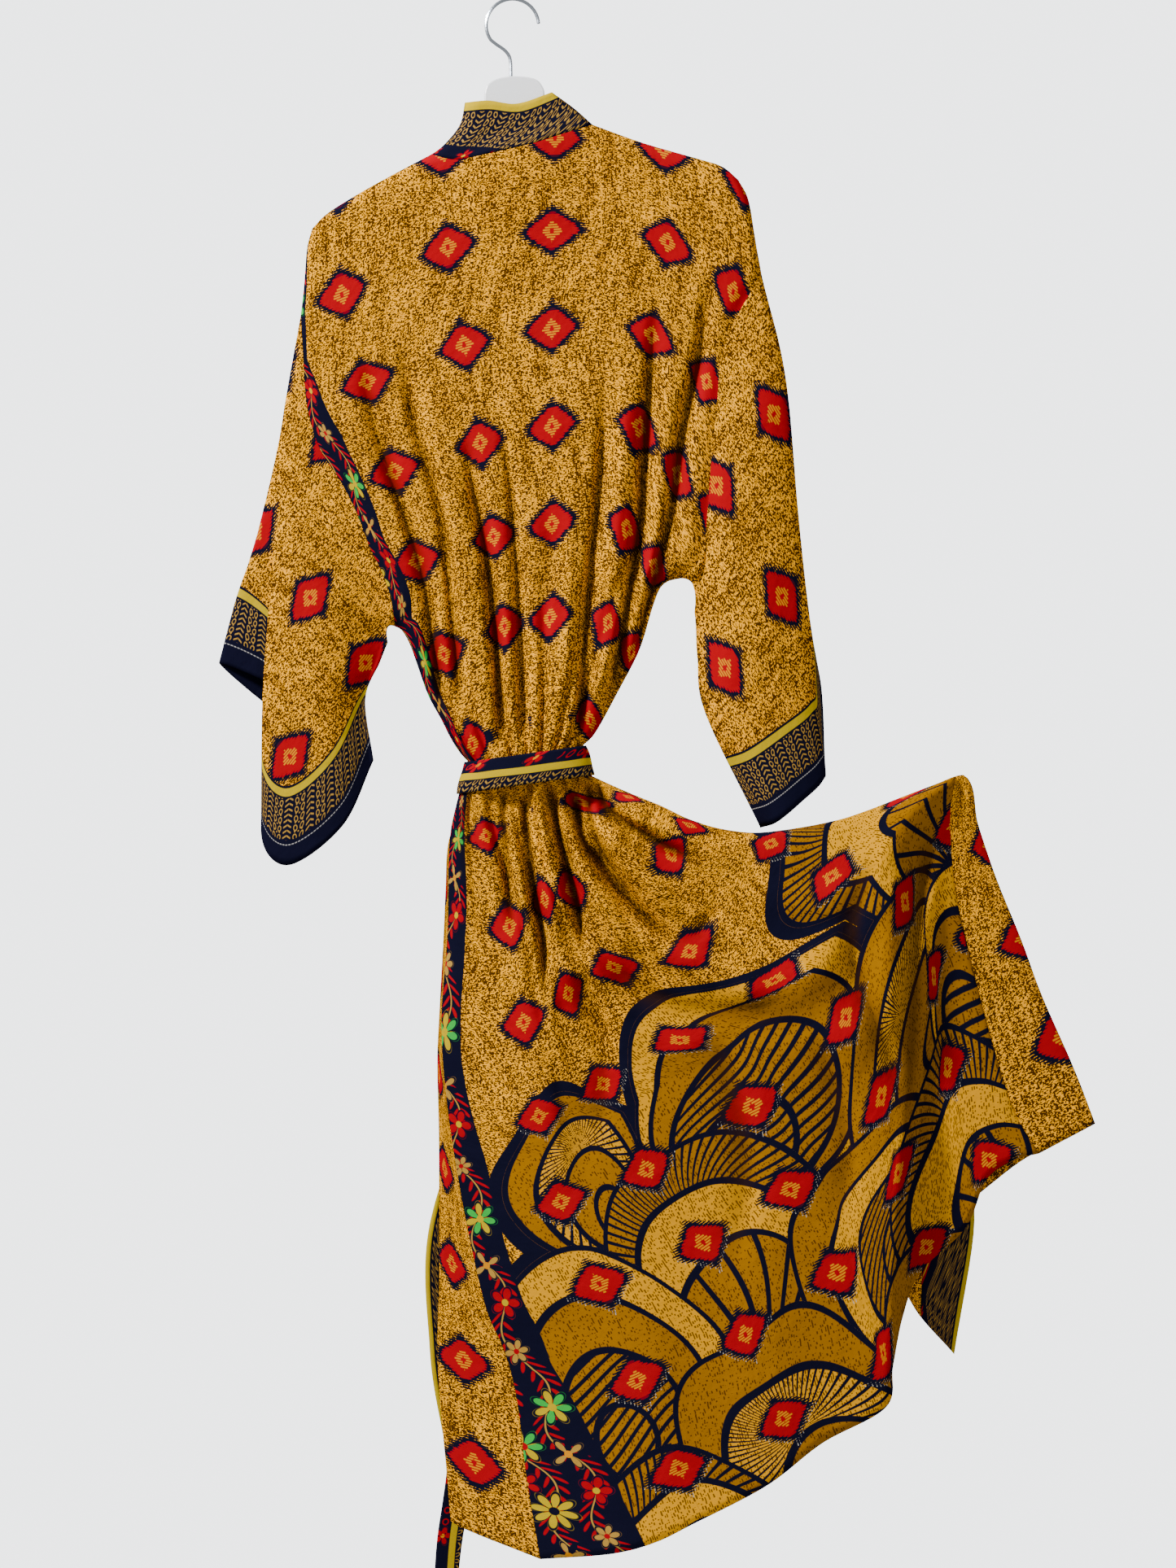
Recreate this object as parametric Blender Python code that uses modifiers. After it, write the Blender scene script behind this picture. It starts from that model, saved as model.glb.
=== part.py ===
"""A kimono duster on a hanger, seen from behind: cut pieces, sash and hanger.

Metres, +Z up. The origin is the inside of the hook's crown, from which it all hangs.
The garment's back faces -Y and +X is the wearer's right. The tables are in millimetres,
as (x, z) points on the garment seen from behind, and a depth is a distance from the
hanger's plane, towards -Y for the back layer and +Y for the front layer.
"""
from typing import NamedTuple

import bmesh
import bpy
import numpy as np

MM = 0.001

# Driving dimensions, in millimetres
WALL = 1.2
SEAM_GAP = 0.3
CORNER_GAP = 1.3
SASH_WALL = 2.0
SASH_WIDTH = 30.0
SASH_CLEARANCE = 0.5
SHOULDER_DEPTH = 9.0
SIDE_ROUNDING = 28.0
WIRE_DIAMETER = 3.4
HOOK_RADIUS = 25.7
COLLAR_DEPTH = 9.5
COLLAR_ROUNDING = 16.0
HANGER_ARM_DIAMETER = 9.0
HANGER_REST_GAP = 1.4

# The eye from which the outlines were read
EYE = np.array((75.6, -2000.0, -769.0))

# Outlines of the garment, as (x, z)
SHOULDER_LEFT = ((-195, -224), (-180, -209), (-150, -190), (-114, -170), (-78, -151))
NECKLINE = ((-78, -151), (-54, -156), (-22, -150), (18, -141), (50, -131), (80, -122))
SHOULDER_RIGHT = ((80, -122), (130, -140), (182, -155), (207, -163), (223, -176))
DROP_LEFT = ((-195, -224), (-200, -244), (-203, -282), (-206, -308))
DROP_RIGHT = ((223, -176), (233, -196), (240, -237), (246, -270))
ARMHOLE_LEFT = (
    (-206, -308), (-204, -346), (-200, -398), (-187, -441), (-167, -472),
    (-150, -506), (-138, -538), (-127, -560), (-118, -586), (-114, -614),
)
ARMHOLE_RIGHT = (
    (246, -270), (224, -306), (207, -350), (202, -398), (197, -446),
    (193, -502), (189, -536), (181, -556), (166, -567),
)
SIDE_LEFT = ((-114, -614), (-107, -618), (-99, -632), (-90, -657), (-81, -682), (-68, -706), (-59, -724), (-50, -738))
SIDE_RIGHT = ((166, -567), (155, -569.5), (146, -577), (138, -598), (126, -637), (105, -678), (83, -718))
SLEEVE_OUTER_LEFT = ((-206, -308), (-218, -372), (-230, -476), (-251, -534), (-272, -588), (-286, -629))
SLEEVE_OUTER_RIGHT = ((246, -270), (269, -372), (278, -476), (285, -555), (295, -657), (304, -742))
COLLAR_TOP = ((-45, -100), (-22, -98), (6, -101), (40, -90))
COLLAR_END_LEFT = ((-78, -151), (-66, -142), (-50, -122), (-45, -100))
COLLAR_END_RIGHT = ((80, -122), (62, -106), (40, -90))
SKIRT_LEFT = (
    (-60, -825), (-62, -917), (-68, -998), (-64, -1070), (-50, -1166),
    (-26, -1278), (-6, -1326), (6, -1374), (16, -1454), (29, -1530),
)
SWAG = ((118, -779), (146, -790), (178, -805), (218, -816), (266, -818), (330, -802), (394, -778), (436, -762))
DROP_BELOW_CORNER = ((436, -762), (431, -800), (435, -866), (448, -930), (471, -1019), (494, -1090), (518, -1132))
HEM = (
    (29, -1530), (98, -1525), (141, -1514), (178, -1496), (251, -1458), (306, -1416), (368, -1381),
    (375, -1340), (385, -1290), (402, -1248), (446, -1205), (467, -1157), (494, -1138), (518, -1132),
)

# The waist under the sash: the ring's middle, half sizes, their growth per millimetre down, and its tilt
WAIST_X = 14.2
WAIST_Z = -754.5
WAIST_TILT = 0.139
WAIST_HALF_WIDTH = 61.0
WAIST_HALF_DEPTH = 25.0
WAIST_FLARE = 0.27
WAIST_DEPTH_FLARE = 0.10
WAIST_ROUNDNESS = 2.4
BELT_ROWS = (16.0, 5.0, -5.0, -16.0)


class Grain(NamedTuple):
    """Where one grain line of the back runs, as shares of the shoulder line and of the waist."""

    across: float
    shoulder: float
    waist: float


GRAINS = (
    Grain(0.0, 0.0, 0.0), Grain(0.165, 0.10, 0.11), Grain(0.350, 0.3015, 0.41), Grain(0.363, 0.32, 0.43),
    Grain(0.539, 0.573, 0.665), Grain(0.603, 0.6616, 0.76), Grain(0.732, 0.84, 0.92),
    Grain(0.86, 0.975, 0.97), Grain(1.0, 1.0, 1.0),
)
NECK_LEFT, NECK_RIGHT = 0.350, 0.603

# Rows of the body, as shares of its three stretches, and the columns across the back
DROP_ROWS = (0.0, 0.012, 0.04, 0.10, 0.25, 0.55, 1.0)
ARMHOLE_ROWS = (0.0, 0.05, 0.10, 0.20, 0.30, 0.41, 0.55, 0.70, 0.82, 0.92, 1.0)
SIDE_ROWS = (0.0, 0.14, 0.36, 0.62, 0.84, 1.0)
SKIRT_ROWS = (0.0, 0.035, 0.08, 0.14, 0.21, 0.29, 0.37, 0.44, 0.50, 0.57, 0.65, 0.74, 0.83, 0.92, 1.0)
DROP_SHARE, ARMHOLE_SHARE = 0.146, 0.708
LEFT_COLUMNS = (0.0, 0.006, 0.018, 0.045, 0.08, 0.12, 0.16, 0.20, 0.24, 0.28, 0.315, 0.350)
NECK_COLUMNS = (0.350, 0.382, 0.414, 0.446, 0.478, 0.510, 0.542, 0.573, 0.603)
RIGHT_COLUMNS = (0.603, 0.635, 0.667, 0.70, 0.735, 0.775, 0.82, 0.865, 0.91, 0.95, 0.98, 0.994, 1.0)


class Drift(NamedTuple):
    """How far the skirt's inner grain lines hang from a plain blend of its edges, in one row."""

    down: float
    x: tuple
    z: tuple


DRIFT_ACROSS = (0.0, 0.165, 0.363, 0.539, 0.732, 0.86, 1.0)
DRIFTS = (
    Drift(0.00, (0, 0, 0, 0, 0, 0, 0), (0, 0, 0, 0, 0, 0, 0)),
    Drift(0.18, (0, 12, -21, -38, -12, 1, 0), (0, -6, 2, -3, -6, 12, 0)),
    Drift(0.32, (0, 10, -36, -62, -44, -12, 0), (0, -7, -18, -25, -50, 4, 0)),
    Drift(0.45, (0, -5, -50, -62, -38, -28, 0), (0, -12, -43, -56, -76, -32, 0)),
    Drift(0.58, (0, -8, -30, -24, 4, 12, 0), (0, -6, -33, -40, -55, -8, 0)),
    Drift(0.71, (0, -2, -10, -10, 24, 22, 0), (0, 10, -7, -16, -34, 10, 0)),
    Drift(0.84, (0, 2, 0, 0, 16, 6, 0), (0, 18, 10, 10, -12, 16, 0)),
    Drift(1.00, (0, 0, 0, 0, 0, 0, 0), (0, 0, 0, 0, 0, 0, 0)),
)


class Pleat(NamedTuple):
    """One gather that the sash presses in: its place at the waist, size and reach up or down."""

    waist: float
    end: float
    width: float
    end_width: float
    depth: float
    reach: float


PLEATS_ABOVE = (
    Pleat(0.10, 0.12, 0.022, 0.05, 6.0, 0.55), Pleat(0.22, 0.20, 0.020, 0.05, 6.5, 0.62),
    Pleat(0.335, 0.35, 0.020, 0.035, 7.5, 0.90), Pleat(0.43, 0.43, 0.020, 0.04, 5.0, 0.40),
    Pleat(0.515, 0.47, 0.018, 0.035, 7.0, 0.70), Pleat(0.60, 0.68, 0.018, 0.04, 6.0, 0.62),
    Pleat(0.675, 0.80, 0.020, 0.05, 7.0, 0.78),
)
PLEATS_BELOW = (
    Pleat(0.12, 0.14, 0.022, 0.04, 5.0, 0.40), Pleat(0.23, 0.25, 0.022, 0.035, 7.0, 0.80),
    Pleat(0.335, 0.34, 0.020, 0.035, 6.5, 0.55), Pleat(0.43, 0.45, 0.020, 0.035, 7.0, 0.75),
    Pleat(0.525, 0.55, 0.020, 0.030, 6.5, 0.55), Pleat(0.61, 0.66, 0.020, 0.030, 6.5, 0.60),
    Pleat(0.70, 0.78, 0.022, 0.030, 5.0, 0.45),
)
PLEATS_FRONT = (
    Pleat(0.10, 0.10, 0.022, 0.05, 3.0, 0.45), Pleat(0.26, 0.26, 0.022, 0.05, 3.0, 0.40),
    Pleat(0.44, 0.44, 0.022, 0.05, 3.0, 0.35), Pleat(0.62, 0.62, 0.022, 0.05, 3.0, 0.40),
    Pleat(0.78, 0.78, 0.022, 0.05, 3.0, 0.35), Pleat(0.90, 0.90, 0.020, 0.04, 3.0, 0.45),
)


class Fold(NamedTuple):
    """One fold of the skirt's back: a bent line, its height towards the viewer and its two half widths."""

    start: tuple
    bend: tuple
    end: tuple
    height: float
    left: float
    right: float


FOLDS = (
    Fold((18, -800), (28, -950), (48, -1160), 8.0, 30.0, 9.0),
    Fold((44, -800), (52, -900), (120, -1010), 8.0, 14.0, 12.0),
    Fold((66, -800), (90, -870), (190, -950), 9.0, 16.0, 9.0),
    Fold((86, -790), (120, -850), (215, -925), 9.0, 12.0, 9.0),
    Fold((100, -795), (150, -830), (225, -850), 7.0, 12.0, 10.0),
    Fold((190, -935), (270, -980), (380, -850), 10.0, 18.0, 26.0),
    Fold((240, -880), (320, -880), (420, -790), 8.0, 18.0, 22.0),
    Fold((270, -1040), (350, -1010), (418, -830), 8.0, 24.0, 26.0),
    Fold((90, -1180), (140, -1330), (150, -1480), 6.0, 45.0, 30.0),
    Fold((230, -1130), (250, -1290), (260, -1430), 6.0, 40.0, 40.0),
    Fold((420, -880), (440, -1000), (470, -1110), 7.0, 14.0, 14.0),
)
STEP_LINE = ((432, -800), (402, -958), (389, -1102), (380, -1218), (376, -1310), (371, -1384))
STRIP_DEPTH = 5.0
STEP_WIDTH = 15.0
SKIRT_DEPTHS = ((0.0, 26.5), (0.1, 30.0), (0.3, 36.0), (0.6, 44.0), (1.0, 50.0))
SKIRT_LEFT_EDGE = ((0.0, 0.0), (0.2, 0.0), (0.5, 4.0), (0.7, 7.0), (1.0, 10.0))
SKIRT_RIGHT_EDGE = ((0.0, 0.0), (0.45, 0.0), (0.6, 2.0), (1.0, 4.0))
BACK_DEPTHS = ((0.0, 9.0), (0.3, 12.0), (0.7, 17.0), (0.9, 22.0), (1.0, 23.4))
FRONT_DEPTHS = ((0.0, 9.0), (0.3, 12.0), (0.7, 18.0), (0.9, 22.0), (1.0, 23.4))

# Fronts above the sash: the seam of each front band and its free edge, as (x, z)
BAND_SEAM_LEFT = ((-78, -151), (-74, -220), (-56, -380), (-30, -540), (-2, -660))
BAND_EDGE_LEFT = ((-45, -100), (-24, -190), (0, -340), (26, -500), (46, -640))
BAND_SEAM_RIGHT = ((80, -122), (80, -210), (68, -380), (50, -540), (30, -650))
BAND_EDGE_RIGHT = ((40, -90), (26, -190), (8, -330), (-12, -500), (-28, -640))
BAND_AT_WAIST_LEFT = (0.55, 0.80)
BAND_AT_WAIST_RIGHT = (0.32, 0.12)
WRAP_GAP = 2.4
BAND_COLUMNS = (0.0, 0.25, 0.5, 0.75, 1.0)


class FrontRow(NamedTuple):
    """One row of a front's skirt below the sash, as (x, depth, z) from the side seam to the free edge."""

    down: float
    turn: tuple
    behind: tuple
    inner: tuple
    seam: tuple
    edge: tuple


FRONT_LEFT_ROWS = (
    FrontRow(0.09, (-61, 10, -825), (-34, 33, -826), (4, 40, -828), (24, 41, -829), (56, 38, -830)),
    FrontRow(0.16, (-64, 11, -872), (-34, 35, -874), (10, 42, -878), (32, 43, -878), (56, 50, -880)),
    FrontRow(0.22, (-66, 11, -920), (-34, 36, -924), (16, 43, -928), (36, 45, -928), (50, 58, -930)),
    FrontRow(0.29, (-69, 11, -975), (-34, 35, -978), (20, 42, -980), (40, 45, -978), (28, 66, -976)),
    FrontRow(0.37, (-72, 11, -1035), (-34, 34, -1036), (22, 39, -1036), (36, 48, -1034), (-10, 62, -1030)),
    FrontRow(0.47, (-70, 11, -1112), (-30, 30, -1112), (40, 40, -1112), (12, 54, -1110), (-48, 48, -1106)),
    FrontRow(0.60, (-67, 11, -1212), (-24, 27, -1212), (48, 38, -1212), (-20, 52, -1206), (-80, 44, -1202)),
    FrontRow(0.78, (-61, 11, -1350), (-14, 26, -1348), (52, 36, -1342), (-18, 50, -1330), (-80, 43, -1322)),
    FrontRow(1.00, (-46, 11, -1500), (-4, 25, -1490), (50, 36, -1464), (-8, 50, -1440), (-64, 43, -1424)),
)
FRONT_RIGHT_ROWS = (
    FrontRow(0.09, (121, 8, -785), (92, 24, -800), (50, 28, -815), (22, 28, -826), (-18, 25, -838)),
    FrontRow(0.21, (200, 8, -818), (140, 24, -842), (90, 29, -868), (62, 30, -886), (22, 31, -916)),
    FrontRow(0.37, (318, 8, -812), (240, 24, -872), (170, 30, -930), (140, 33, -956), (102, 46, -978)),
    FrontRow(0.44, (390, 7, -786), (300, 23, -872), (212, 30, -958), (180, 35, -984), (154, 74, -984)),
    FrontRow(0.50, (444, 5, -762), (350, 22, -870), (252, 30, -985), (224, 36, -1012), (226, 80, -984)),
    FrontRow(0.57, (458, 5, -808), (370, 21, -920), (268, 30, -1036), (246, 38, -1058), (286, 66, -1010)),
    FrontRow(0.65, (474, 5, -860), (392, 20, -965), (290, 29, -1082), (278, 38, -1098), (338, 48, -1044)),
    FrontRow(0.74, (497, 5, -920), (416, 19, -1015), (322, 28, -1132), (322, 36, -1140), (392, 42, -1086)),
    FrontRow(0.83, (517, 5, -978), (440, 18, -1065), (348, 27, -1180), (362, 36, -1186), (436, 41, -1136)),
    FrontRow(0.92, (545, 4, -1045), (462, 17, -1110), (372, 26, -1220), (388, 35, -1234), (455, 40, -1198)),
    FrontRow(1.00, (569, 3, -1105), (486, 16, -1150), (384, 25, -1250), (394, 34, -1280), (435, 38, -1329)),
)
FRONT_STATIONS = (0.0, 0.12, 0.42, 0.68, 0.80, 1.0)


class SleeveRow(NamedTuple):
    """One ring of a sleeve, as (x, depth, z) points; a depth below zero is on the back's side."""

    along: float
    under: tuple
    near_low: tuple
    near_mid: tuple
    near_top: tuple
    top: tuple
    far_top: tuple
    far_mid: tuple
    far_low: tuple


SLEEVE_SHARES = (1.0, 0.70, 0.41, 0.10, 0.0, 0.10, 0.41, 0.70)
SLEEVE_LEFT_ROWS = (
    SleeveRow(0.28, (-121, 0, -630), (-163, -14, -552), (-202, -14, -482), (-222, -9, -428), (-225, 0, -420),
              (-222, 9, -428), (-196, 13, -486), (-156, 12, -560)),
    SleeveRow(0.52, (-129, 0, -650), (-170, -16, -620), (-208, -15, -572), (-230, -8, -528), (-233, -1, -516),
              (-248, 4, -524), (-210, 15, -548), (-168, 14, -610)),
    SleeveRow(0.76, (-143, 0, -686), (-176, -17, -712), (-220, -16, -716), (-243, -8, -668), (-222, 1, -612),
              (-270, 5, -588), (-226, 15, -614), (-180, 15, -666)),
    SleeveRow(1.00, (-135, 0, -746), (-166, -16, -811), (-221, -16, -849), (-245, -8, -808), (-206, 2, -700),
              (-286, 4, -650), (-236, 14, -694), (-180, 14, -726)),
)
SLEEVE_RIGHT_ROWS = (
    SleeveRow(0.28, (180, 0, -600), (205, -18, -530), (236, -18, -440), (264, -10, -384), (270, 0, -374),
              (264, 9, -384), (232, 14, -442), (202, 12, -526)),
    SleeveRow(0.52, (183, 0, -645), (214, -20, -608), (248, -20, -560), (275, -10, -516), (282, 0, -505),
              (275, 11, -510), (240, 20, -540), (206, 16, -590)),
    SleeveRow(0.76, (191, 0, -700), (222, -22, -700), (258, -22, -672), (287, -11, -648), (295, 0, -634),
              (286, 13, -590), (244, 24, -618), (208, 18, -648)),
    SleeveRow(1.00, (245, 0, -812), (262, -20, -806), (286, -20, -786), (306, -11, -766), (308, 0, -746),
              (298, 13, -650), (248, 24, -684), (202, 16, -712)),
)
UNDERSIDE_ROUNDING = 2.2
SLEEVE_ARCH_LEFT, SLEEVE_ARCH_RIGHT = (-4.0, 6.0), (5.0, 9.0)
SLEEVE_RINGS = (0.0, 0.05, 0.13, 0.22, 0.31, 0.40, 0.50, 0.60, 0.70, 0.80, 0.90, 1.0)

# Sash knot and tails, as (x, depth, z)
KNOT_CENTRE = (26.0, 38.7, -753.0)
KNOT_SIZE = (40.0, 19.0, 36.0)
LONG_TAIL = (
    (22, 43, -770.2), (18, 60, -800), (12, 71, -900), (-6, 72, -1100), (-26, 69, -1270),
    (-42, 66, -1390), (-52, 60, -1462), (-60, 56, -1510), (-64, 56, -1552),
)
SHORT_TAIL = ((30, 36.5, -770.2), (44, 48, -800), (62, 52, -850), (78, 52, -900), (84, 50, -1000), (82, 48, -1100))
TAIL_ROWS = 22
TAIL_TURN = ((0.0, 0.2), (0.8, 0.3), (1.0, 0.7))

# Hanger body: a hub that rises through the neck, and where its two arms end
HUB_OUTLINE = ((-24, -120), (-26, -92), (-19, -80), (0, -75), (22, -77), (31, -85), (33, -96), (30, -122), (2, -146))
HUB_CENTRE = ((-26, -146), (4, -136), (38, -132))
HUB_THICKNESS = 8.0
ARM_SHARE = 0.91
STEM_TOP = -53.0
STEM_END = -74.4


def as_seen(points):
    """Points whose x and z were read in the hanger's plane, moved along their line of sight."""
    away = (points[..., 1:2] - EYE[1]) / -EYE[1]
    seen = points.copy()
    seen[..., [0, 2]] = EYE[[0, 2]] + (points[..., [0, 2]] - EYE[[0, 2]]) * away
    return seen


def ease(value):
    """Smooth step from 0 to 1."""
    value = np.clip(value, 0.0, 1.0)
    return value * value * (3.0 - 2.0 * value)


def rounded(value):
    """Quarter circle: 0 with a steep start at 0, and 1 from 1 on."""
    return np.sqrt(np.clip(1.0 - (1.0 - np.clip(value, 0.0, 1.0)) ** 2, 0.0, 1.0))


def reading(table, at):
    """Value of a two-column table, with straight lines between its rows."""
    rows = np.asarray(table, float)
    return np.interp(at, rows[:, 0], rows[:, 1])


def smooth_points(points, steps=16):
    """Points close together on the curve that passes through the given ones."""
    p = np.asarray(points, float)
    p = np.vstack([2 * p[0] - p[1], p, 2 * p[-1] - p[-2]])
    t = np.linspace(0.0, 1.0, steps, endpoint=False)[:, None]
    runs = []
    for a, b, c, d in zip(p[:-3], p[1:-2], p[2:-1], p[3:]):
        runs.append(0.5 * (2 * b + (c - a) * t + (2 * a - 5 * b + 4 * c - d) * t**2
                           + (3 * b - a - 3 * c + d) * t**3))
    return np.vstack(runs + [p[-2][None]])


def along(points, share, steps=16):
    """Point at each share of the length of the smooth curve through the points."""
    dense = smooth_points(points, steps)
    run = np.concatenate([[0.0], np.cumsum(np.linalg.norm(np.diff(dense, axis=0), axis=1))])
    return np.stack([np.interp(np.asarray(share) * run[-1], run, axis) for axis in dense.T], -1)


def spline_rows(keys, rows, at):
    """Smooth values between rows: each row is an array, and keys are the rows' places."""
    keys, rows = np.asarray(keys, float), np.asarray(rows, float)
    slopes = np.gradient(rows, keys, axis=0)
    index = np.clip(np.searchsorted(keys, at, side="right") - 1, 0, len(keys) - 2)
    span = keys[index + 1] - keys[index]
    shape = (-1,) + (1,) * (rows.ndim - 1)
    t = ((np.asarray(at) - keys[index]) / span).reshape(shape)
    span = span.reshape(shape)
    return ((2 * t**3 - 3 * t**2 + 1) * rows[index] + (t**3 - 2 * t**2 + t) * span * slopes[index]
            + (3 * t**2 - 2 * t**3) * rows[index + 1] + (t**3 - t**2) * span * slopes[index + 1])


def distance_to(points, x, z):
    """Distance from each (x, z) to a smooth line through the points."""
    line = smooth_points(points, 6)
    start, step = line[:-1], np.diff(line, axis=0)
    offset = np.stack([x, z], -1)[..., None, :] - start
    share = np.clip((offset * step).sum(-1) / (step * step).sum(-1), 0.0, 1.0)
    return np.linalg.norm(offset - share[..., None] * step, axis=-1).min(-1)


def waist_row(height, share, deeper=0.0):
    """Points round one side of the waist at a height above its middle, as x, depth and z."""
    half = WAIST_HALF_WIDTH - WAIST_FLARE * height
    depth = WAIST_HALF_DEPTH - WAIST_DEPTH_FLARE * height - deeper
    across = 2.0 * np.asarray(share) - 1.0
    bulge = np.clip(1.0 - np.abs(across) ** WAIST_ROUNDNESS, 0.0, 1.0) ** (1.0 / WAIST_ROUNDNESS)
    x = WAIST_X + half * across
    z = WAIST_Z + height + WAIST_TILT * half * across
    return np.stack([x, depth * bulge, z], -1)


def waist_end(height, share):
    """The (x, z) of the waist's side at a height above its middle."""
    return tuple(waist_row(height, share)[[0, 2]])


def body_side(drop, armhole, side, share_at_waist):
    """Outer edge of the upper body: down the drop, round the armhole and down the side to the sash."""
    side = side + (waist_end(BELT_ROWS[0], share_at_waist),)
    return np.vstack([along(drop, DROP_ROWS), along(armhole, ARMHOLE_ROWS)[1:], along(side, SIDE_ROWS)[1:]])


LEFT_EDGE = body_side(DROP_LEFT, ARMHOLE_LEFT, SIDE_LEFT, 0.0)
RIGHT_EDGE = body_side(DROP_RIGHT, ARMHOLE_RIGHT, SIDE_RIGHT, 1.0)
UPPER_ROWS = np.concatenate([
    DROP_SHARE * np.array(DROP_ROWS),
    DROP_SHARE + (ARMHOLE_SHARE - DROP_SHARE) * np.array(ARMHOLE_ROWS[1:]),
    ARMHOLE_SHARE + (1.0 - ARMHOLE_SHARE) * np.array(SIDE_ROWS[1:]),
])
# Row at which the skirt's right seam turns down, where its top edge is held out
GATHER = len(UPPER_ROWS) + len(BELT_ROWS) - 2 + SKIRT_ROWS.index(0.50)
BACK_COLUMNS = np.array(LEFT_COLUMNS + NECK_COLUMNS[1:] + RIGHT_COLUMNS[1:])
SIDES = {"left": 0, "right": -1}
UNDERARM = len(DROP_ROWS) + len(ARMHOLE_ROWS) - 2
ARMHOLE = slice(len(DROP_ROWS) - 1, len(DROP_ROWS) + len(ARMHOLE_ROWS) - 1)
OUTER_LINES = (
    SLEEVE_OUTER_LEFT[::-1] + DROP_LEFT[::-1][1:] + SHOULDER_LEFT[1:],
    SHOULDER_RIGHT + DROP_RIGHT[1:] + SLEEVE_OUTER_RIGHT[1:],
)
SIDE_LINES = (SIDE_LEFT, SIDE_RIGHT)


def blend_patch(left, right, top, bottom, across, down):
    """Surface between four edge lines: left and right by row, top and bottom by column."""
    u, v = across[None, :, None], down[:, None, None]
    ruled = (1 - u) * left[:, None] + u * right[:, None] + (1 - v) * top[None] + v * bottom[None]
    corners = ((1 - u) * (1 - v) * left[0] + u * (1 - v) * right[0]
               + (1 - u) * v * left[-1] + u * v * right[-1])
    return ruled - corners


def at_rest(depth, columns):
    """The depth with its outer seams brought onto the hanger's plane, except along the armhole."""
    depth = np.maximum(depth, 0.0)
    depth[0, columns[0]] = 0.0
    for column in columns[1]:
        depth[:len(DROP_ROWS), column] = 0.0
        depth[UNDERARM:-1, column] = 0.0
    return depth


def upper_depth(x, z, down, depths):
    """Depth of the upper body's cloth: round over the hanger, round at the sides, fuller near the sash."""
    outer = np.minimum(distance_to(OUTER_LINES[0], x, z), distance_to(OUTER_LINES[1], x, z))
    side = np.minimum(distance_to(SIDE_LINES[0], x, z), distance_to(SIDE_LINES[1], x, z))
    neck = 7.0 * np.exp(-((x - 1) / 60.0) ** 2 - ((z + 140) / 90.0) ** 2)
    full = reading(depths, down) + neck
    above = full * rounded(outer / SHOULDER_DEPTH) * rounded(side / SIDE_ROUNDING)
    left, right = (np.interp(-z, -edge[UNDERARM:, 1], edge[UNDERARM:, 0]) for edge in (LEFT_EDGE, RIGHT_EDGE))
    across = np.clip(2 * (x - left) / (right - left) - 1, -1, 1)
    waist = full * (1 - np.abs(across) ** WAIST_ROUNDNESS) ** (1 / WAIST_ROUNDNESS)
    near_waist = ease((-z - 600.0) / 125.0)
    return (1 - near_waist) * above + near_waist * waist


def armhole_crease(x, z):
    """Shallow trough along both armhole seams, the deeper one on the right."""
    left = 1.5 * np.exp(-(distance_to(ARMHOLE_LEFT, x, z) / 8.0) ** 2)
    right = 4.0 * np.exp(-(distance_to(ARMHOLE_RIGHT, x, z) / 9.0) ** 2)
    return left + right


def pleat_depth(pleats, across, down):
    """How far the gathers press in, from the sash (down = 0) to the end of each one's reach."""
    total = np.zeros(np.broadcast(across, down).shape)
    for pleat in pleats:
        run = np.clip(down / pleat.reach, 0.0, 1.0)
        middle = pleat.waist + (pleat.end - pleat.waist) * run
        width = pleat.width + (pleat.end_width - pleat.width) * run
        total += pleat.depth * (1.0 - ease(run)) * np.exp(-((across - middle) / width) ** 2)
    return total


def curve_distance(points, x, z):
    """Signed distance to a smooth line, positive on its right as it goes down, and the share along it."""
    line = smooth_points(points, 8)
    start, step = line[:-1], np.diff(line, axis=0)
    offset = np.stack([x, z], -1)[..., None, :] - start
    share = np.clip((offset * step).sum(-1) / (step * step).sum(-1), 0.0, 1.0)
    gap = offset - share[..., None] * step
    nearest = np.linalg.norm(gap, axis=-1).argmin(-1)
    pick = np.take_along_axis
    chosen = pick(gap, nearest[..., None, None], -2)[..., 0, :]
    way = step[nearest]
    turn = way[..., 0] * chosen[..., 1] - way[..., 1] * chosen[..., 0]
    run = np.concatenate([[0.0], np.cumsum(np.linalg.norm(step, axis=1))])
    part = run[nearest] + pick(share, nearest[..., None], -1)[..., 0] * np.linalg.norm(way, axis=-1)
    return np.linalg.norm(chosen, axis=-1) * np.sign(turn), part / run[-1]


def fold_height(x, z):
    """Height of the skirt's folds towards the viewer, and the step at its deep fold."""
    total = np.zeros(x.shape)
    for fold in FOLDS:
        side, share = curve_distance((fold.start, fold.bend, fold.end), x, z)
        width = np.where(side < 0, fold.left, fold.right)
        total += fold.height * np.sin(np.pi * np.clip(share, 0.02, 0.98)) ** 0.6 * np.exp(-(side / width) ** 2)
    return total


def past_deep_fold(x, z, down):
    """Share of the way behind the deep fold: 0 before it, and 1 on the strip that lies past it."""
    side, _ = curve_distance(STEP_LINE, x, z)
    return ease((down - 0.42) / 0.4) * ease(side / STEP_WIDTH + 0.25)


def waist_share(across):
    """Share of the waist at which each grain line passes."""
    table = np.array(GRAINS)
    return np.interp(across, table[:, 0], table[:, 2])


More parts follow.
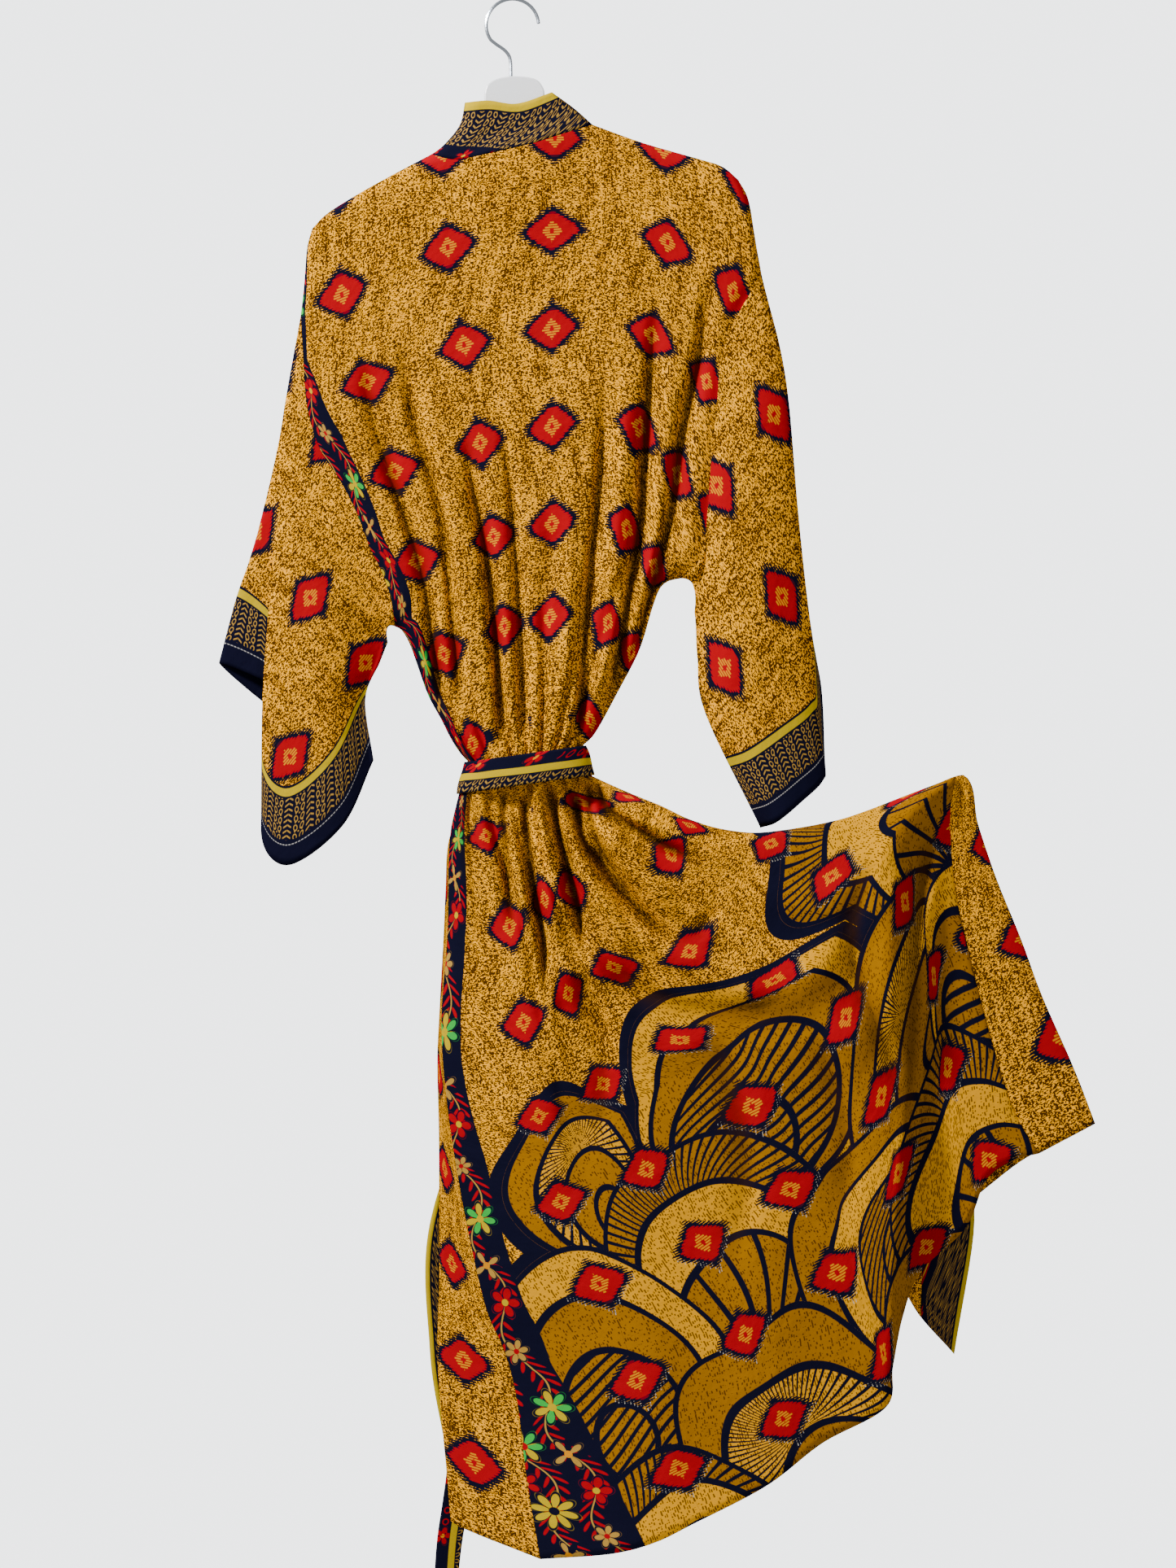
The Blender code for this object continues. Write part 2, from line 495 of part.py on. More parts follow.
def shoulder_point(across):
    """Point of the back's top edge on each grain line."""
    table = np.array(GRAINS)
    line = np.vstack([smooth_points(SHOULDER_LEFT), smooth_points(NECKLINE)[1:], smooth_points(SHOULDER_RIGHT)[1:]])
    run = np.concatenate([[0.0], np.cumsum(np.linalg.norm(np.diff(line, axis=0), axis=1))])
    lengths = [len(smooth_points(SHOULDER_LEFT)) - 1, len(smooth_points(SHOULDER_LEFT)) + len(smooth_points(NECKLINE)) - 2]
    marks = np.interp(across, table[:, 0], table[:, 1])
    knots = (0.0, table[2, 1], table[5, 1], 1.0)
    places = (0.0, run[lengths[0]], run[lengths[1]], run[-1])
    where = np.interp(marks, knots, places)
    return np.stack([np.interp(where, run, line[:, 0]), np.interp(where, run, line[:, 1])], -1)


def back_grid():
    """The back panel from the shoulders, through the sash, to the hem."""
    across = BACK_COLUMNS
    share = waist_share(across)
    top_row = waist_row(BELT_ROWS[0], share)
    flat = blend_patch(LEFT_EDGE, RIGHT_EDGE, shoulder_point(across), top_row[:, [0, 2]], across, UPPER_ROWS)
    x, z = flat[..., 0], flat[..., 1]
    down = UPPER_ROWS[:, None]
    depth = upper_depth(x, z, down, BACK_DEPTHS) - armhole_crease(x, z)
    hold = ease((down - 0.93) / 0.07)
    depth = (1 - hold) * depth + hold * top_row[None, :, 1]
    inside = rounded(np.minimum(across, 1 - across) / 0.05)[None]
    depth = depth - inside * pleat_depth(PLEATS_ABOVE, across[None], 1.0 - down)
    shoulder = (across <= NECK_LEFT) | (across >= NECK_RIGHT)
    upper = np.stack([x, -at_rest(depth, (shoulder, (0, -1))), z], -1)
    belt = np.stack([waist_row(height, share) for height in BELT_ROWS])
    belt[..., 1] = -(belt[..., 1] - inside * pleat_depth(PLEATS_ABOVE, across[None], np.zeros((1, 1))))
    return np.concatenate([upper, belt[1:-1], skirt_grid(across, inside)])


def skirt_edges():
    """Left and right side seams of the skirt, row by row, as (x, z)."""
    left = along((waist_end(BELT_ROWS[-1], 0.0),) + SKIRT_LEFT, SKIRT_ROWS)
    rows = np.array(SKIRT_ROWS)
    swag = along((waist_end(BELT_ROWS[-1], 1.0),) + SWAG, np.clip(rows * 2, 0, 1))
    drop = along(DROP_BELOW_CORNER, np.clip(rows * 2 - 1, 0, 1))
    return left, np.where(rows[:, None] < 0.5, swag, drop)


def skirt_grid(across, inside):
    """The back panel's skirt, from under the sash to the hem."""
    rows = np.array(SKIRT_ROWS)
    left, right = skirt_edges()
    top_row = waist_row(BELT_ROWS[-1], waist_share(across))
    flat = blend_patch(left, right, top_row[:, [0, 2]], along(HEM, across), across, rows)
    drift_keys = [drift.down for drift in DRIFTS]
    for axis, name in enumerate(("x", "z")):
        by_row = spline_rows(drift_keys, [getattr(drift, name) for drift in DRIFTS], rows)
        flat[..., axis] += spline_rows(DRIFT_ACROSS, by_row.T, across).T
    x, z = flat[..., 0], flat[..., 1]
    down = rows[:, None]
    from_left = np.clip(across / 0.3, 0, 1)[None]
    from_right = np.clip((1 - across) / 0.3, 0, 1)[None]
    left_power = 0.5 + 0.5 * ease(down / 0.5)
    right_power = 0.5 + 0.5 * ease((down - 0.45) / 0.15)
    shape = (1 - (1 - from_left) ** 2) ** left_power * (1 - (1 - from_right) ** 2) ** right_power
    edge = (1 - across) * reading(SKIRT_LEFT_EDGE, down) + across * reading(SKIRT_RIGHT_EDGE, down)
    depth = edge + (reading(SKIRT_DEPTHS, down) - edge) * shape
    mask = ease(np.minimum(across / 0.12, (1 - across) / 0.10))[None] * ease(down / 0.06)
    depth = depth + mask * fold_height(x, z)
    behind = past_deep_fold(x, z, down)
    depth = (1 - behind) * depth + behind * (edge + STRIP_DEPTH * rounded((1 - across) / 0.04)[None])
    hold = 1 - ease(down / 0.12)
    depth = hold * top_row[None, :, 1] + (1 - hold) * depth
    depth = depth - inside * pleat_depth(PLEATS_BELOW, across[None], down)
    return np.stack([x, -depth, z], -1)


def front_upper(side_edge, seam, edge, shoulder, collar_end, at_waist, side_share, wrap):
    """Upper part of one front: its panel and its band, from the shoulder to the sash."""
    seam_share, edge_share = at_waist
    columns = np.array(LEFT_COLUMNS) / NECK_LEFT if side_share == 0.0 else \
        (1.0 - np.array(RIGHT_COLUMNS)[::-1]) / (1.0 - NECK_RIGHT)
    waist_shares = side_share + (seam_share - side_share) * columns
    height = BELT_ROWS[0]
    rows = np.concatenate([UPPER_ROWS])
    seam_line = along(seam + (waist_end(height, seam_share),), rows)
    edge_line = along(edge + (waist_end(height, edge_share),), rows)
    panel_bottom = waist_row(height, waist_shares)[:, [0, 2]]
    grain = np.array(LEFT_COLUMNS) if side_share == 0.0 else np.array(RIGHT_COLUMNS)[::-1]
    panel = blend_patch(side_edge, seam_line, shoulder_point(grain), panel_bottom, columns, rows)
    band_columns = np.array(BAND_COLUMNS)
    band_shares = seam_share + (edge_share - seam_share) * band_columns
    band_bottom = waist_row(height, band_shares)[:, [0, 2]]
    band = blend_patch(seam_line, edge_line, along(collar_end, band_columns), band_bottom, band_columns, rows)
    flat = np.concatenate([panel, band[:, 1:]], axis=1)
    shares = np.concatenate([waist_shares, band_shares[1:]])
    return flat, shares, columns, wrap


def front_grid(side):
    """One front with its band: the panel's columns come first and the band's last."""
    left = side == "left"
    side_share = 0.0 if left else 1.0
    flat, shares, columns, wrap = front_upper(
        LEFT_EDGE if left else RIGHT_EDGE,
        BAND_SEAM_LEFT if left else BAND_SEAM_RIGHT,
        BAND_EDGE_LEFT if left else BAND_EDGE_RIGHT,
        SHOULDER_LEFT if left else SHOULDER_RIGHT,
        COLLAR_END_LEFT if left else COLLAR_END_RIGHT,
        BAND_AT_WAIST_LEFT if left else BAND_AT_WAIST_RIGHT,
        side_share, WRAP_GAP if left else -WRAP_GAP)
    x, z = flat[..., 0], flat[..., 1]
    down = UPPER_ROWS[:, None]
    from_side = np.abs(shares - side_share)[None]
    lapped = ease((from_side - 0.12) / 0.2)
    lift = (0.0 if left else -2 * WRAP_GAP) * lapped[0]
    collar_end = COLLAR_END_LEFT if left else COLLAR_END_RIGHT
    depth = upper_depth(x, z, down, FRONT_DEPTHS) * rounded(distance_to(collar_end, x, z) / SHOULDER_DEPTH)
    early = WRAP_GAP * lapped * ease((down - 0.1) / 0.3) * (1.0 if left else -1.0)
    top_row = waist_row(BELT_ROWS[0], shares)
    hold = ease((down - 0.93) / 0.07)
    depth = (1 - hold) * (depth + early) + hold * (top_row[None, :, 1] + lift)
    inside = rounded(from_side / 0.06)
    depth = depth - inside * pleat_depth(PLEATS_FRONT, shares[None], 1.0 - down)
    top_seams = np.ones(len(shares), bool)
    upper = np.stack([x, at_rest(depth, (top_seams, (0,))), z], -1)
    belt = np.stack([waist_row(height, shares) for height in BELT_ROWS])
    press = inside * pleat_depth(PLEATS_FRONT, shares[None], np.zeros((1, 1)))
    belt[..., 1] += lift[None] - press
    across = np.concatenate([columns * 0.85, 0.85 + 0.15 * np.array(BAND_COLUMNS[1:])])
    skirt = front_skirt(side, across, belt[-1])
    return np.concatenate([upper, belt[1:-1], skirt]), len(columns)


def front_skirt(side, across, top_row):
    """One front below the sash: sections from the side seam, round its turns, to the free edge."""
    left = side == "left"
    rows = FRONT_LEFT_ROWS if left else FRONT_RIGHT_ROWS
    seam_line = skirt_edges()[0 if left else 1]
    edge_depth = reading(SKIRT_LEFT_EDGE if left else SKIRT_RIGHT_EDGE, SKIRT_ROWS)
    side_seam = np.stack([seam_line[:, 0], -edge_depth, seam_line[:, 1]], -1)
    stations = np.array(FRONT_STATIONS)
    first = np.stack([np.interp(stations, across, top_row[:, k]) for k in range(3)], -1)[1:]
    controls = spline_rows([0.0] + [row.down for row in rows],
                           [first] + [row[1:] for row in rows], np.array(SKIRT_ROWS))
    sections = np.concatenate([side_seam[:, None], controls], axis=1)
    shaped = spline_rows(stations, sections.transpose(1, 0, 2), across).transpose(1, 0, 2)
    hold = 1 - ease(np.array(SKIRT_ROWS) / 0.09)[:, None, None]
    return hold * top_row[None] + (1 - hold) * shaped


def sleeve_grid(side, back, front):
    """A sleeve as rings from the armhole seam to the cuff, each from the underarm round the back's side."""
    rows = SLEEVE_LEFT_ROWS if side == "left" else SLEEVE_RIGHT_ROWS
    near, far = back[ARMHOLE, SIDES[side]], front[ARMHOLE, 0]
    seam_ring = np.concatenate([near[::-1], far[1:]])
    shares = np.array(ARMHOLE_ROWS)
    places = np.concatenate([shares[::-1], -shares[1:]])
    marks = np.array([1.0, 0.70, 0.41, 0.10, 0.0, -0.10, -0.41, -0.70, -1.0])
    index = [int(np.argmin(np.abs(places - mark))) for mark in marks]
    start = seam_ring[index]
    closed = [tuple(row[1:]) + (row.under,) for row in rows]
    controls = spline_rows([0.0] + [row.along for row in rows], [start] + closed, np.array(SLEEVE_RINGS))
    keys = np.interp(places, marks[::-1], np.arange(len(marks))[::-1])
    rings = spline_rows(np.arange(len(marks)), controls.transpose(1, 0, 2), keys).transpose(1, 0, 2)
    run = np.array(SLEEVE_RINGS)[:, None]
    settle = (1 - ease(run / 0.25))[..., None]
    rings = rings + settle * (seam_ring - rings[0])[None]
    arch = np.clip(run / 0.28, 0, 1)
    bow = 4 * arch * (1 - arch) * np.array(SLEEVE_ARCH_LEFT if side == "left" else SLEEVE_ARCH_RIGHT)
    near_under = np.clip(1 - np.linalg.norm(seam_ring - seam_ring[0], axis=1) / 25.0, 0, 1)
    rings[..., [0, 2]] += bow[:, None] * near_under[None, :, None]
    rings[:, 0, 1] -= UNDERSIDE_ROUNDING * ease(run[:, 0] / 0.1)
    rings[:, -1, 1] += UNDERSIDE_ROUNDING * ease(run[:, 0] / 0.1)
    return rings


def collar_grid(back):
    """The collar band, from the neck seam up to its top edge."""
    first = len(LEFT_COLUMNS) - 1
    base = back[0, first:first + len(NECK_COLUMNS)]
    span = np.linspace(0.0, 1.0, len(NECK_COLUMNS))
    rise = np.array(BAND_COLUMNS)
    left = along(COLLAR_END_LEFT, rise)
    right = along(COLLAR_END_RIGHT, rise)
    flat = blend_patch(left, right, base[:, [0, 2]], along(COLLAR_TOP, span), span, rise)
    x, z = flat[..., 0], flat[..., 1]
    from_end = np.minimum(distance_to(COLLAR_END_LEFT, x, z), distance_to(COLLAR_END_RIGHT, x, z))
    standing = -COLLAR_DEPTH * rounded(from_end / COLLAR_ROUNDING)
    lean = ease(rise / 0.5)[:, None]
    depth = (1 - lean) * base[None, :, 1] + lean * standing
    depth[:, [0, -1]] = 0.0
    return np.stack([x, depth, z], -1)


def drawn_back(edge, own, other, corners=()):
    """Edge points moved into their piece, so that two walls that bend at the seam stay apart.

    The corners, where three pieces meet, are moved the most.
    """
    own = own.copy()
    line = np.gradient(edge, axis=0)
    line /= np.maximum(np.linalg.norm(line, axis=-1, keepdims=True), 1e-6)

    def square(points):
        way = points - edge
        way = way - (way * line).sum(-1, keepdims=True) * line
        return way / np.maximum(np.linalg.norm(way, axis=-1, keepdims=True), 1e-6)

    bend = np.arccos(np.clip(-(square(own) * square(other)).sum(-1), -1.0, 1.0))
    amount = np.clip(WALL / 2 * np.tan(np.minimum(bend, 2.2) / 2) + 0.15, SEAM_GAP / 2, CORNER_GAP)
    for corner in corners:
        beside = [index for index in (corner - 1, corner + 1) if 0 <= index < len(amount)]
        amount[beside] = np.maximum(amount[beside], CORNER_GAP / 2)
    for corner in corners:
        amount[corner] = CORNER_GAP
        own[corner] = own[1] if corner == 0 else own[-2] if corner == -1 else own[corner]
    way = own - edge
    length = np.maximum(np.linalg.norm(way, axis=-1), 1e-6)
    lean = np.maximum((way * square(own)).sum(-1) / length, 0.5)
    return edge + way * np.minimum(amount / lean / length, 0.6)[:, None]


def sewn(back, collar, fronts, sleeves):
    """All the cloth pieces, each with its seams drawn back from its neighbours' edges."""
    pieces = {"back": back.copy(), "collar": collar.copy()}
    first = len(LEFT_COLUMNS) - 1
    neck = slice(first, first + len(NECK_COLUMNS))
    last = len(NECK_COLUMNS) - 1
    pieces["back"][0, neck] = drawn_back(back[0, neck], back[1, neck], collar[1])
    pieces["collar"][0] = drawn_back(collar[0], collar[1], back[1, neck], (0, -1))
    for side, outer in SIDES.items():
        front, count = fronts[side]
        sleeve = sleeves[side]
        inner = 1 if outer == 0 else -2
        shoulder = slice(0, first) if outer == 0 else slice(len(back[0]) - 1, first + last, -1)
        top = slice(0, first if outer == 0 else len(RIGHT_COLUMNS) - 1)
        beside_back, beside_front = front[:, 1].copy(), back[:, inner].copy()
        beside_back[ARMHOLE] = sleeve[1, len(ARMHOLE_ROWS) - 1::-1]
        beside_front[ARMHOLE] = sleeve[1, len(ARMHOLE_ROWS) - 1:]
        pieces["back"][0, shoulder] = drawn_back(back[0, shoulder], back[1, shoulder], front[1, top])
        meets = (0, ARMHOLE.start, UNDERARM) + (() if outer == 0 else (GATHER,))
        own = back[:, inner].copy()
        own[0] = back[1, inner]
        pieces["back"][:, outer] = drawn_back(back[:, outer], own, beside_back, meets)
        panel, band = front[:, :count].copy(), front[:, count - 1:].copy()
        panel[0, top] = drawn_back(front[0, top], front[1, top], back[1, shoulder])
        panel[:, 0] = drawn_back(front[:, 0], front[:, 1], beside_front, meets)
        panel[:, -1] = drawn_back(front[:, count - 1], front[:, count - 2], front[:, count], (0,))
        band[:, 0] = drawn_back(front[:, count - 1], front[:, count], front[:, count - 2], (0,))
        end = 0 if outer == 0 else -1
        beside_end = 1 if outer == 0 else -2
        band[0, 1:] = drawn_back(band[0, 1:], band[1, 1:], collar[1:, beside_end])
        pieces["collar"][1:, end] = drawn_back(collar[1:, end], collar[1:, beside_end], front[1, count:])
        ring = sleeve.copy()
        beside_sleeve = np.concatenate([back[ARMHOLE, inner][::-1], front[ARMHOLE, 1][1:]])
        top = len(ARMHOLE_ROWS) - 1
        ring[0] = drawn_back(sleeve[0], sleeve[1], beside_sleeve, (0, top, -1))
        ring[0, [0, -1]] = ring[0, [0, -1]].mean(axis=0)
        pieces["front_" + side] = panel
        pieces["front_band_" + side] = band
        pieces["sleeve_" + side] = np.concatenate([ring, ring[:, :1]], axis=1)
    return pieces


def paint(name, colour, roughness, metallic=0.0):
    """A Principled BSDF material."""
    material = bpy.data.materials.new(name)
    material.use_nodes = True
    shader = material.node_tree.nodes["Principled BSDF"]
    shader.inputs["Base Color"].default_value = (*colour, 1.0)
    shader.inputs["Roughness"].default_value = roughness
    shader.inputs["Metallic"].default_value = metallic
    return material


def link(name, mesh_or_curve, material, collection):
    """Add an object to the collection with its one material."""
    item = bpy.data.objects.new(name, mesh_or_curve)
    item.data.materials.append(material)
    collection.objects.link(item)
    return item


def cloth(name, grid, material, collection, wall=WALL, ring=False):
    """A cloth wall: Blender's grid moved onto the section points, with Solidify for its thickness."""
    rows, columns = grid.shape[:2]
    bm = bmesh.new()
    bmesh.ops.create_grid(bm, x_segments=columns - 1, y_segments=rows - 1, size=0.5)
    bm.verts.ensure_lookup_table()
    for vertex, point in zip(bm.verts, as_seen(grid).reshape(-1, 3) * MM):
        vertex.co = point
    if ring:
        bmesh.ops.remove_doubles(bm, verts=bm.verts, dist=0.05 * MM)
    mesh = bpy.data.meshes.new(name)
    bm.to_mesh(mesh)
    bm.free()
    mesh.shade_smooth()
    item = link(name, mesh, material, collection)
    shell = item.modifiers.new("wall", "SOLIDIFY")
    shell.thickness = wall * MM
    shell.offset = 0.0
    shell.use_quality_normals = True
    return item


def sash_loop(collection, material):
    """The sash round the waist, a band that stands just clear of the gathered cloth."""
    clear = WALL / 2 + SASH_CLEARANCE + SASH_WALL / 2
    turns = np.linspace(0.0, 2.0 * np.pi, 57)
    sine, cosine = np.sin(turns), np.cos(turns)
    power = 2.0 / WAIST_ROUNDNESS
    rows = []
    for height in (SASH_WIDTH / 2, 0.0, -SASH_WIDTH / 2):
        half = WAIST_HALF_WIDTH - WAIST_FLARE * height + clear
        depth = WAIST_HALF_DEPTH - WAIST_DEPTH_FLARE * height + clear
        x = np.sign(cosine) * np.abs(cosine) ** power * half
        y = np.sign(sine) * np.abs(sine) ** power * depth
        rows.append(np.stack([WAIST_X + x, y, WAIST_Z + height + WAIST_TILT * x], -1))
    return cloth("sash", np.array(rows), material, collection, wall=SASH_WALL, ring=True)


def sash_knot(collection, material):
    """The knot in front: a soft lump drawn in at its middle."""
    bm = bmesh.new()
    bmesh.ops.create_cube(bm, size=1.0)
    bmesh.ops.subdivide_edges(bm, edges=bm.edges, cuts=2, use_grid_fill=True)
    for vertex in bm.verts:
        pinch = 1.0 - 0.25 * (1.0 - min(1.0, 3.0 * abs(vertex.co.x)))
        vertex.co.z *= pinch
        vertex.co = [(c + s * v) * MM for c, s, v in zip(KNOT_CENTRE, KNOT_SIZE, vertex.co)]
    mesh = bpy.data.meshes.new("sash_knot")
    bm.to_mesh(mesh)
    bm.free()
    knot = link("sash_knot", mesh, material, collection)
    soft = knot.modifiers.new("soft", "SUBSURF")
    soft.levels = soft.render_levels = 1
    return knot


def sash_tail(name, path, collection, material):
    """One free end of the sash, hanging from the knot."""
    shares = np.linspace(0.0, 1.0, TAIL_ROWS)
    centre = along(path, shares)
    turn = reading(TAIL_TURN, shares)[:, None]
    half = SASH_WIDTH / 2
    across = np.array((-1.0, -0.33, 0.33, 1.0))[None] * half
    x = centre[:, 0:1] + across * np.cos(turn)
    y = centre[:, 1:2] + across * np.sin(turn) * 0.5
    z = centre[:, 2:3] + 0.0 * across
    return cloth(name, np.stack([x, y, z], -1), material, collection, wall=SASH_WALL)


def as_mesh(item, collection):
    """Replace a curve object by its mesh, with its caps welded."""
    graph = bpy.context.evaluated_depsgraph_get()
    mesh = bpy.data.meshes.new_from_object(item.evaluated_get(graph))
    bm = bmesh.new()
    bm.from_mesh(mesh)
    bmesh.ops.remove_doubles(bm, verts=bm.verts, dist=0.02 * MM)
    bm.to_mesh(mesh)
    bm.free()
    solid = bpy.data.objects.new(item.name + "_solid", mesh)
    solid.matrix_world = item.matrix_world.copy()
    collection.objects.link(solid)
    bpy.data.objects.remove(item)
    return solid


def tube(name, points, diameter, collection, material, resolution=3):
    """A round bar along (x, depth, z) points in millimetres, with filled ends."""
    curve = bpy.data.curves.new(name, "CURVE")
    curve.dimensions = "3D"
    spline = curve.splines.new("POLY")
    spline.points.add(len(points) - 1)
    for target, point in zip(spline.points, points):
        target.co = (*(np.asarray(point) * MM), 1.0)
    curve.bevel_depth = diameter / 2 * MM
    curve.bevel_resolution = resolution
    curve.use_fill_caps = True
    return link(name, curve, material, collection)


def hook(collection, steel):
    """The wire hook: free end, crown and stem. The crown's inside is the origin."""
    radius, wire = HOOK_RADIUS, WIRE_DIAMETER / 2
    centre = np.array((1.4, wire - radius))
    angles = np.radians(np.linspace(4.0, 214.0, 30))
    arc = centre + radius * np.stack([np.cos(angles), np.sin(angles)], -1)
    stem = np.array([(-13.5, -43.5), (-7.5, -47.5), (-2.5, STEM_TOP), (-0.4, STEM_TOP - 7), (0.0, STEM_END)])
    line = np.vstack([arc, along(np.vstack([arc[-2], arc[-1], stem]), np.linspace(0.12, 1.0, 14))])
    points = [(x, 0.0, z) for x, z in line]
    wire = as_mesh(tube("hook", points, WIRE_DIAMETER, collection, steel, resolution=2), collection)
    wire.name = wire.data.name = "hanger_hook"
    return wire


def hanger(collection, cutters, plastic):
    """The hanger's moulded body: two arms under the shoulders and the hub that rises through the neck."""
    drop = WALL / 2 + HANGER_REST_GAP + HANGER_ARM_DIAMETER / 2
    sides = []
    for shoulder, shares in ((SHOULDER_LEFT, (1 - ARM_SHARE, 0.92)), (SHOULDER_RIGHT, (0.08, ARM_SHARE))):
        line = along(shoulder, np.linspace(0.0, 1.0, 41))
        way = np.gradient(line, axis=0)
        way /= np.linalg.norm(way, axis=1, keepdims=True)
        under = line + drop * np.stack([way[:, 1], -way[:, 0]], -1)
        picks = np.linspace(shares[0], shares[1], 9)
        sides.append(np.stack([np.interp(picks, np.linspace(0, 1, 41), axis) for axis in under.T], -1))
    line = np.vstack([sides[0], HUB_CENTRE, sides[1]])
    smooth = along(line, np.linspace(0.0, 1.0, 34))
    arms = as_mesh(tube("hanger_arms", [(x, 0.0, z) for x, z in smooth], HANGER_ARM_DIAMETER, collection, plastic),
                   collection)
    outline = bpy.data.curves.new("hub_outline", "CURVE")
    outline.dimensions = "2D"
    outline.fill_mode = "BOTH"
    outline.extrude = (HUB_THICKNESS / 2 - 1.5) * MM
    outline.bevel_depth = 1.5 * MM
    outline.offset = -1.5 * MM
    outline.bevel_resolution = 1
    rim = smooth_points(HUB_OUTLINE + HUB_OUTLINE[:1], 4)[:-1]
    spline = outline.splines.new("POLY")
    spline.use_cyclic_u = True
    spline.points.add(len(rim) - 1)
    for target, (x, z) in zip(spline.points, rim):
        target.co = (x * MM, z * MM, 0.0, 1.0)
    hub = bpy.data.objects.new("hub", outline)
    hub.rotation_euler = (np.pi / 2, 0.0, 0.0)
    cutters.objects.link(hub)
    bpy.context.view_layer.update()
    hub = as_mesh(hub, cutters)
    hub.hide_render = True
    hub.display_type = "WIRE"
    arms.name = arms.data.name = "hanger_body"
    join = arms.modifiers.new("hub", "BOOLEAN")
    join.operation = "UNION"
    join.object = hub
    return arms


def main():
    """Clear the scene and build every piece."""
    for item in list(bpy.data.objects):
        bpy.data.objects.remove(item)
    garment = bpy.data.collections.new("kimono_duster")
    cutters = bpy.data.collections.new("cutters")
    for collection in (garment, cutters):
        bpy.context.scene.collection.children.link(collection)

    ochre = paint("ochre_cloth", (0.60, 0.33, 0.06), 0.6)
    navy = paint("navy_band", (0.012, 0.014, 0.05), 0.6)
    steel = paint("bright_wire", (0.75, 0.76, 0.78), 0.2, 1.0)
    plastic = paint("white_plastic", (0.85, 0.86, 0.86), 0.35)

    back = back_grid()
    collar = collar_grid(back)
    fronts = {side: front_grid(side) for side in SIDES}
    sleeves = {side: sleeve_grid(side, back, fronts[side][0]) for side in SIDES}
    pieces = sewn(back, collar, fronts, sleeves)
    for name, grid in pieces.items():
        colour = navy if "band" in name or name == "collar" else ochre
        cloth(name, grid, colour, garment, ring=name.startswith("sleeve"))

    sash_loop(garment, navy)
    sash_knot(garment, navy)
    sash_tail("sash_tail_long", LONG_TAIL, garment, navy)
    sash_tail("sash_tail_short", SHORT_TAIL, garment, navy)
    hook(garment, steel)
    hanger(garment, cutters, plastic)


main()
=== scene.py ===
"""Looks of the kimono duster: its printed cloth, sash, hanger, light and camera.

The garment is laid out in millimetres, seen from behind: x to the wearer's right, z up and y away from
whoever looks at its back, with the origin where the hanger's hook rests on its rail. Each piece of cloth is
a grid of rows, from its top down, by columns, from the wearer's left to the right.
"""
from __future__ import annotations

import logging
from dataclasses import dataclass
from enum import Enum
from functools import cached_property
from typing import NamedTuple

import bmesh
import bpy
import numpy as np
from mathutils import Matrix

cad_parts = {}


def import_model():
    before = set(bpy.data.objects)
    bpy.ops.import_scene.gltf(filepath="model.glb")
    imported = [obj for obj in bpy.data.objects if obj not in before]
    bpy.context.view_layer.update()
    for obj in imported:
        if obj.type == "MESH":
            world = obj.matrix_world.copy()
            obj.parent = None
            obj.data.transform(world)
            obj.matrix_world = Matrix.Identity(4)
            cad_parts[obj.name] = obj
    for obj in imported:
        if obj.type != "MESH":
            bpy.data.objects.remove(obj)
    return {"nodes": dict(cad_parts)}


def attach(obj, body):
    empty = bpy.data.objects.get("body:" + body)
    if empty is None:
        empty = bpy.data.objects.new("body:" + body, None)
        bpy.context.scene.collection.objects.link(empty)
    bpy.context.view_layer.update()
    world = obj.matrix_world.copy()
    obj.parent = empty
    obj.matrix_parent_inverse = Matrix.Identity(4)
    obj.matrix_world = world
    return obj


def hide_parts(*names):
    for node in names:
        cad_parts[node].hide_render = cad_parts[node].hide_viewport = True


Array = np.ndarray
Shares = Array | tuple
Socket = bpy.types.NodeSocket
Pair = tuple[float, float]
Point = tuple[float, float, float]
Ink = Point

LOG = logging.getLogger("kimono_duster")
MM = 0.001

# Driving dimensions, in millimetres

# The eye from which the outlines were read, and from which the camera looks
EYE = np.array((75.6, -2000.0, -769.0))


def refined(values: tuple, times: int) -> tuple:
    """The same values with more steps between them, evenly spaced.

    Args:
        values: The numbers.
        times: How many steps take the place of one.

    Returns:
        The numbers and the new ones between them.
    """
    rows = np.asarray(values, float)
    places = np.linspace(0.0, len(rows) - 1.0, (len(rows) - 1) * times + 1)
    return tuple(np.interp(places, np.arange(len(rows)), rows))


# Outlines of the garment, as (x, z)
SHOULDER_LEFT = ((-195, -224), (-180, -209), (-150, -190), (-114, -170), (-78, -151))
NECKLINE = ((-78, -151), (-54, -156), (-22, -150), (18, -141), (50, -131), (80, -122))
SHOULDER_RIGHT = ((80, -122), (130, -140), (182, -155), (207, -163), (223, -176))
DROP_LEFT = ((-195, -224), (-200, -244), (-203, -282), (-206, -308))
DROP_RIGHT = ((223, -176), (233, -196), (240, -237), (246, -270))
ARMHOLE_LEFT = (
    (-206, -308), (-204, -346), (-200, -398), (-187, -441), (-167, -472),
    (-150, -506), (-138, -538), (-127, -560), (-118, -586), (-114, -614),
)
ARMHOLE_RIGHT = (
    (246, -270), (224, -306), (207, -350), (202, -398), (197, -446),
    (193, -502), (189, -536), (181, -556), (166, -567),
)
SIDE_LEFT = (
    (-114, -614), (-107, -618), (-99, -632), (-90, -657), (-81, -682), (-68, -706), (-59, -724), (-50, -738),
)
SIDE_RIGHT = ((166, -567), (155, -569.5), (146, -577), (138, -598), (126, -637), (105, -678), (83, -718))
SLEEVE_OUTER_LEFT = ((-206, -308), (-218, -372), (-230, -476), (-251, -534), (-272, -588), (-286, -629))
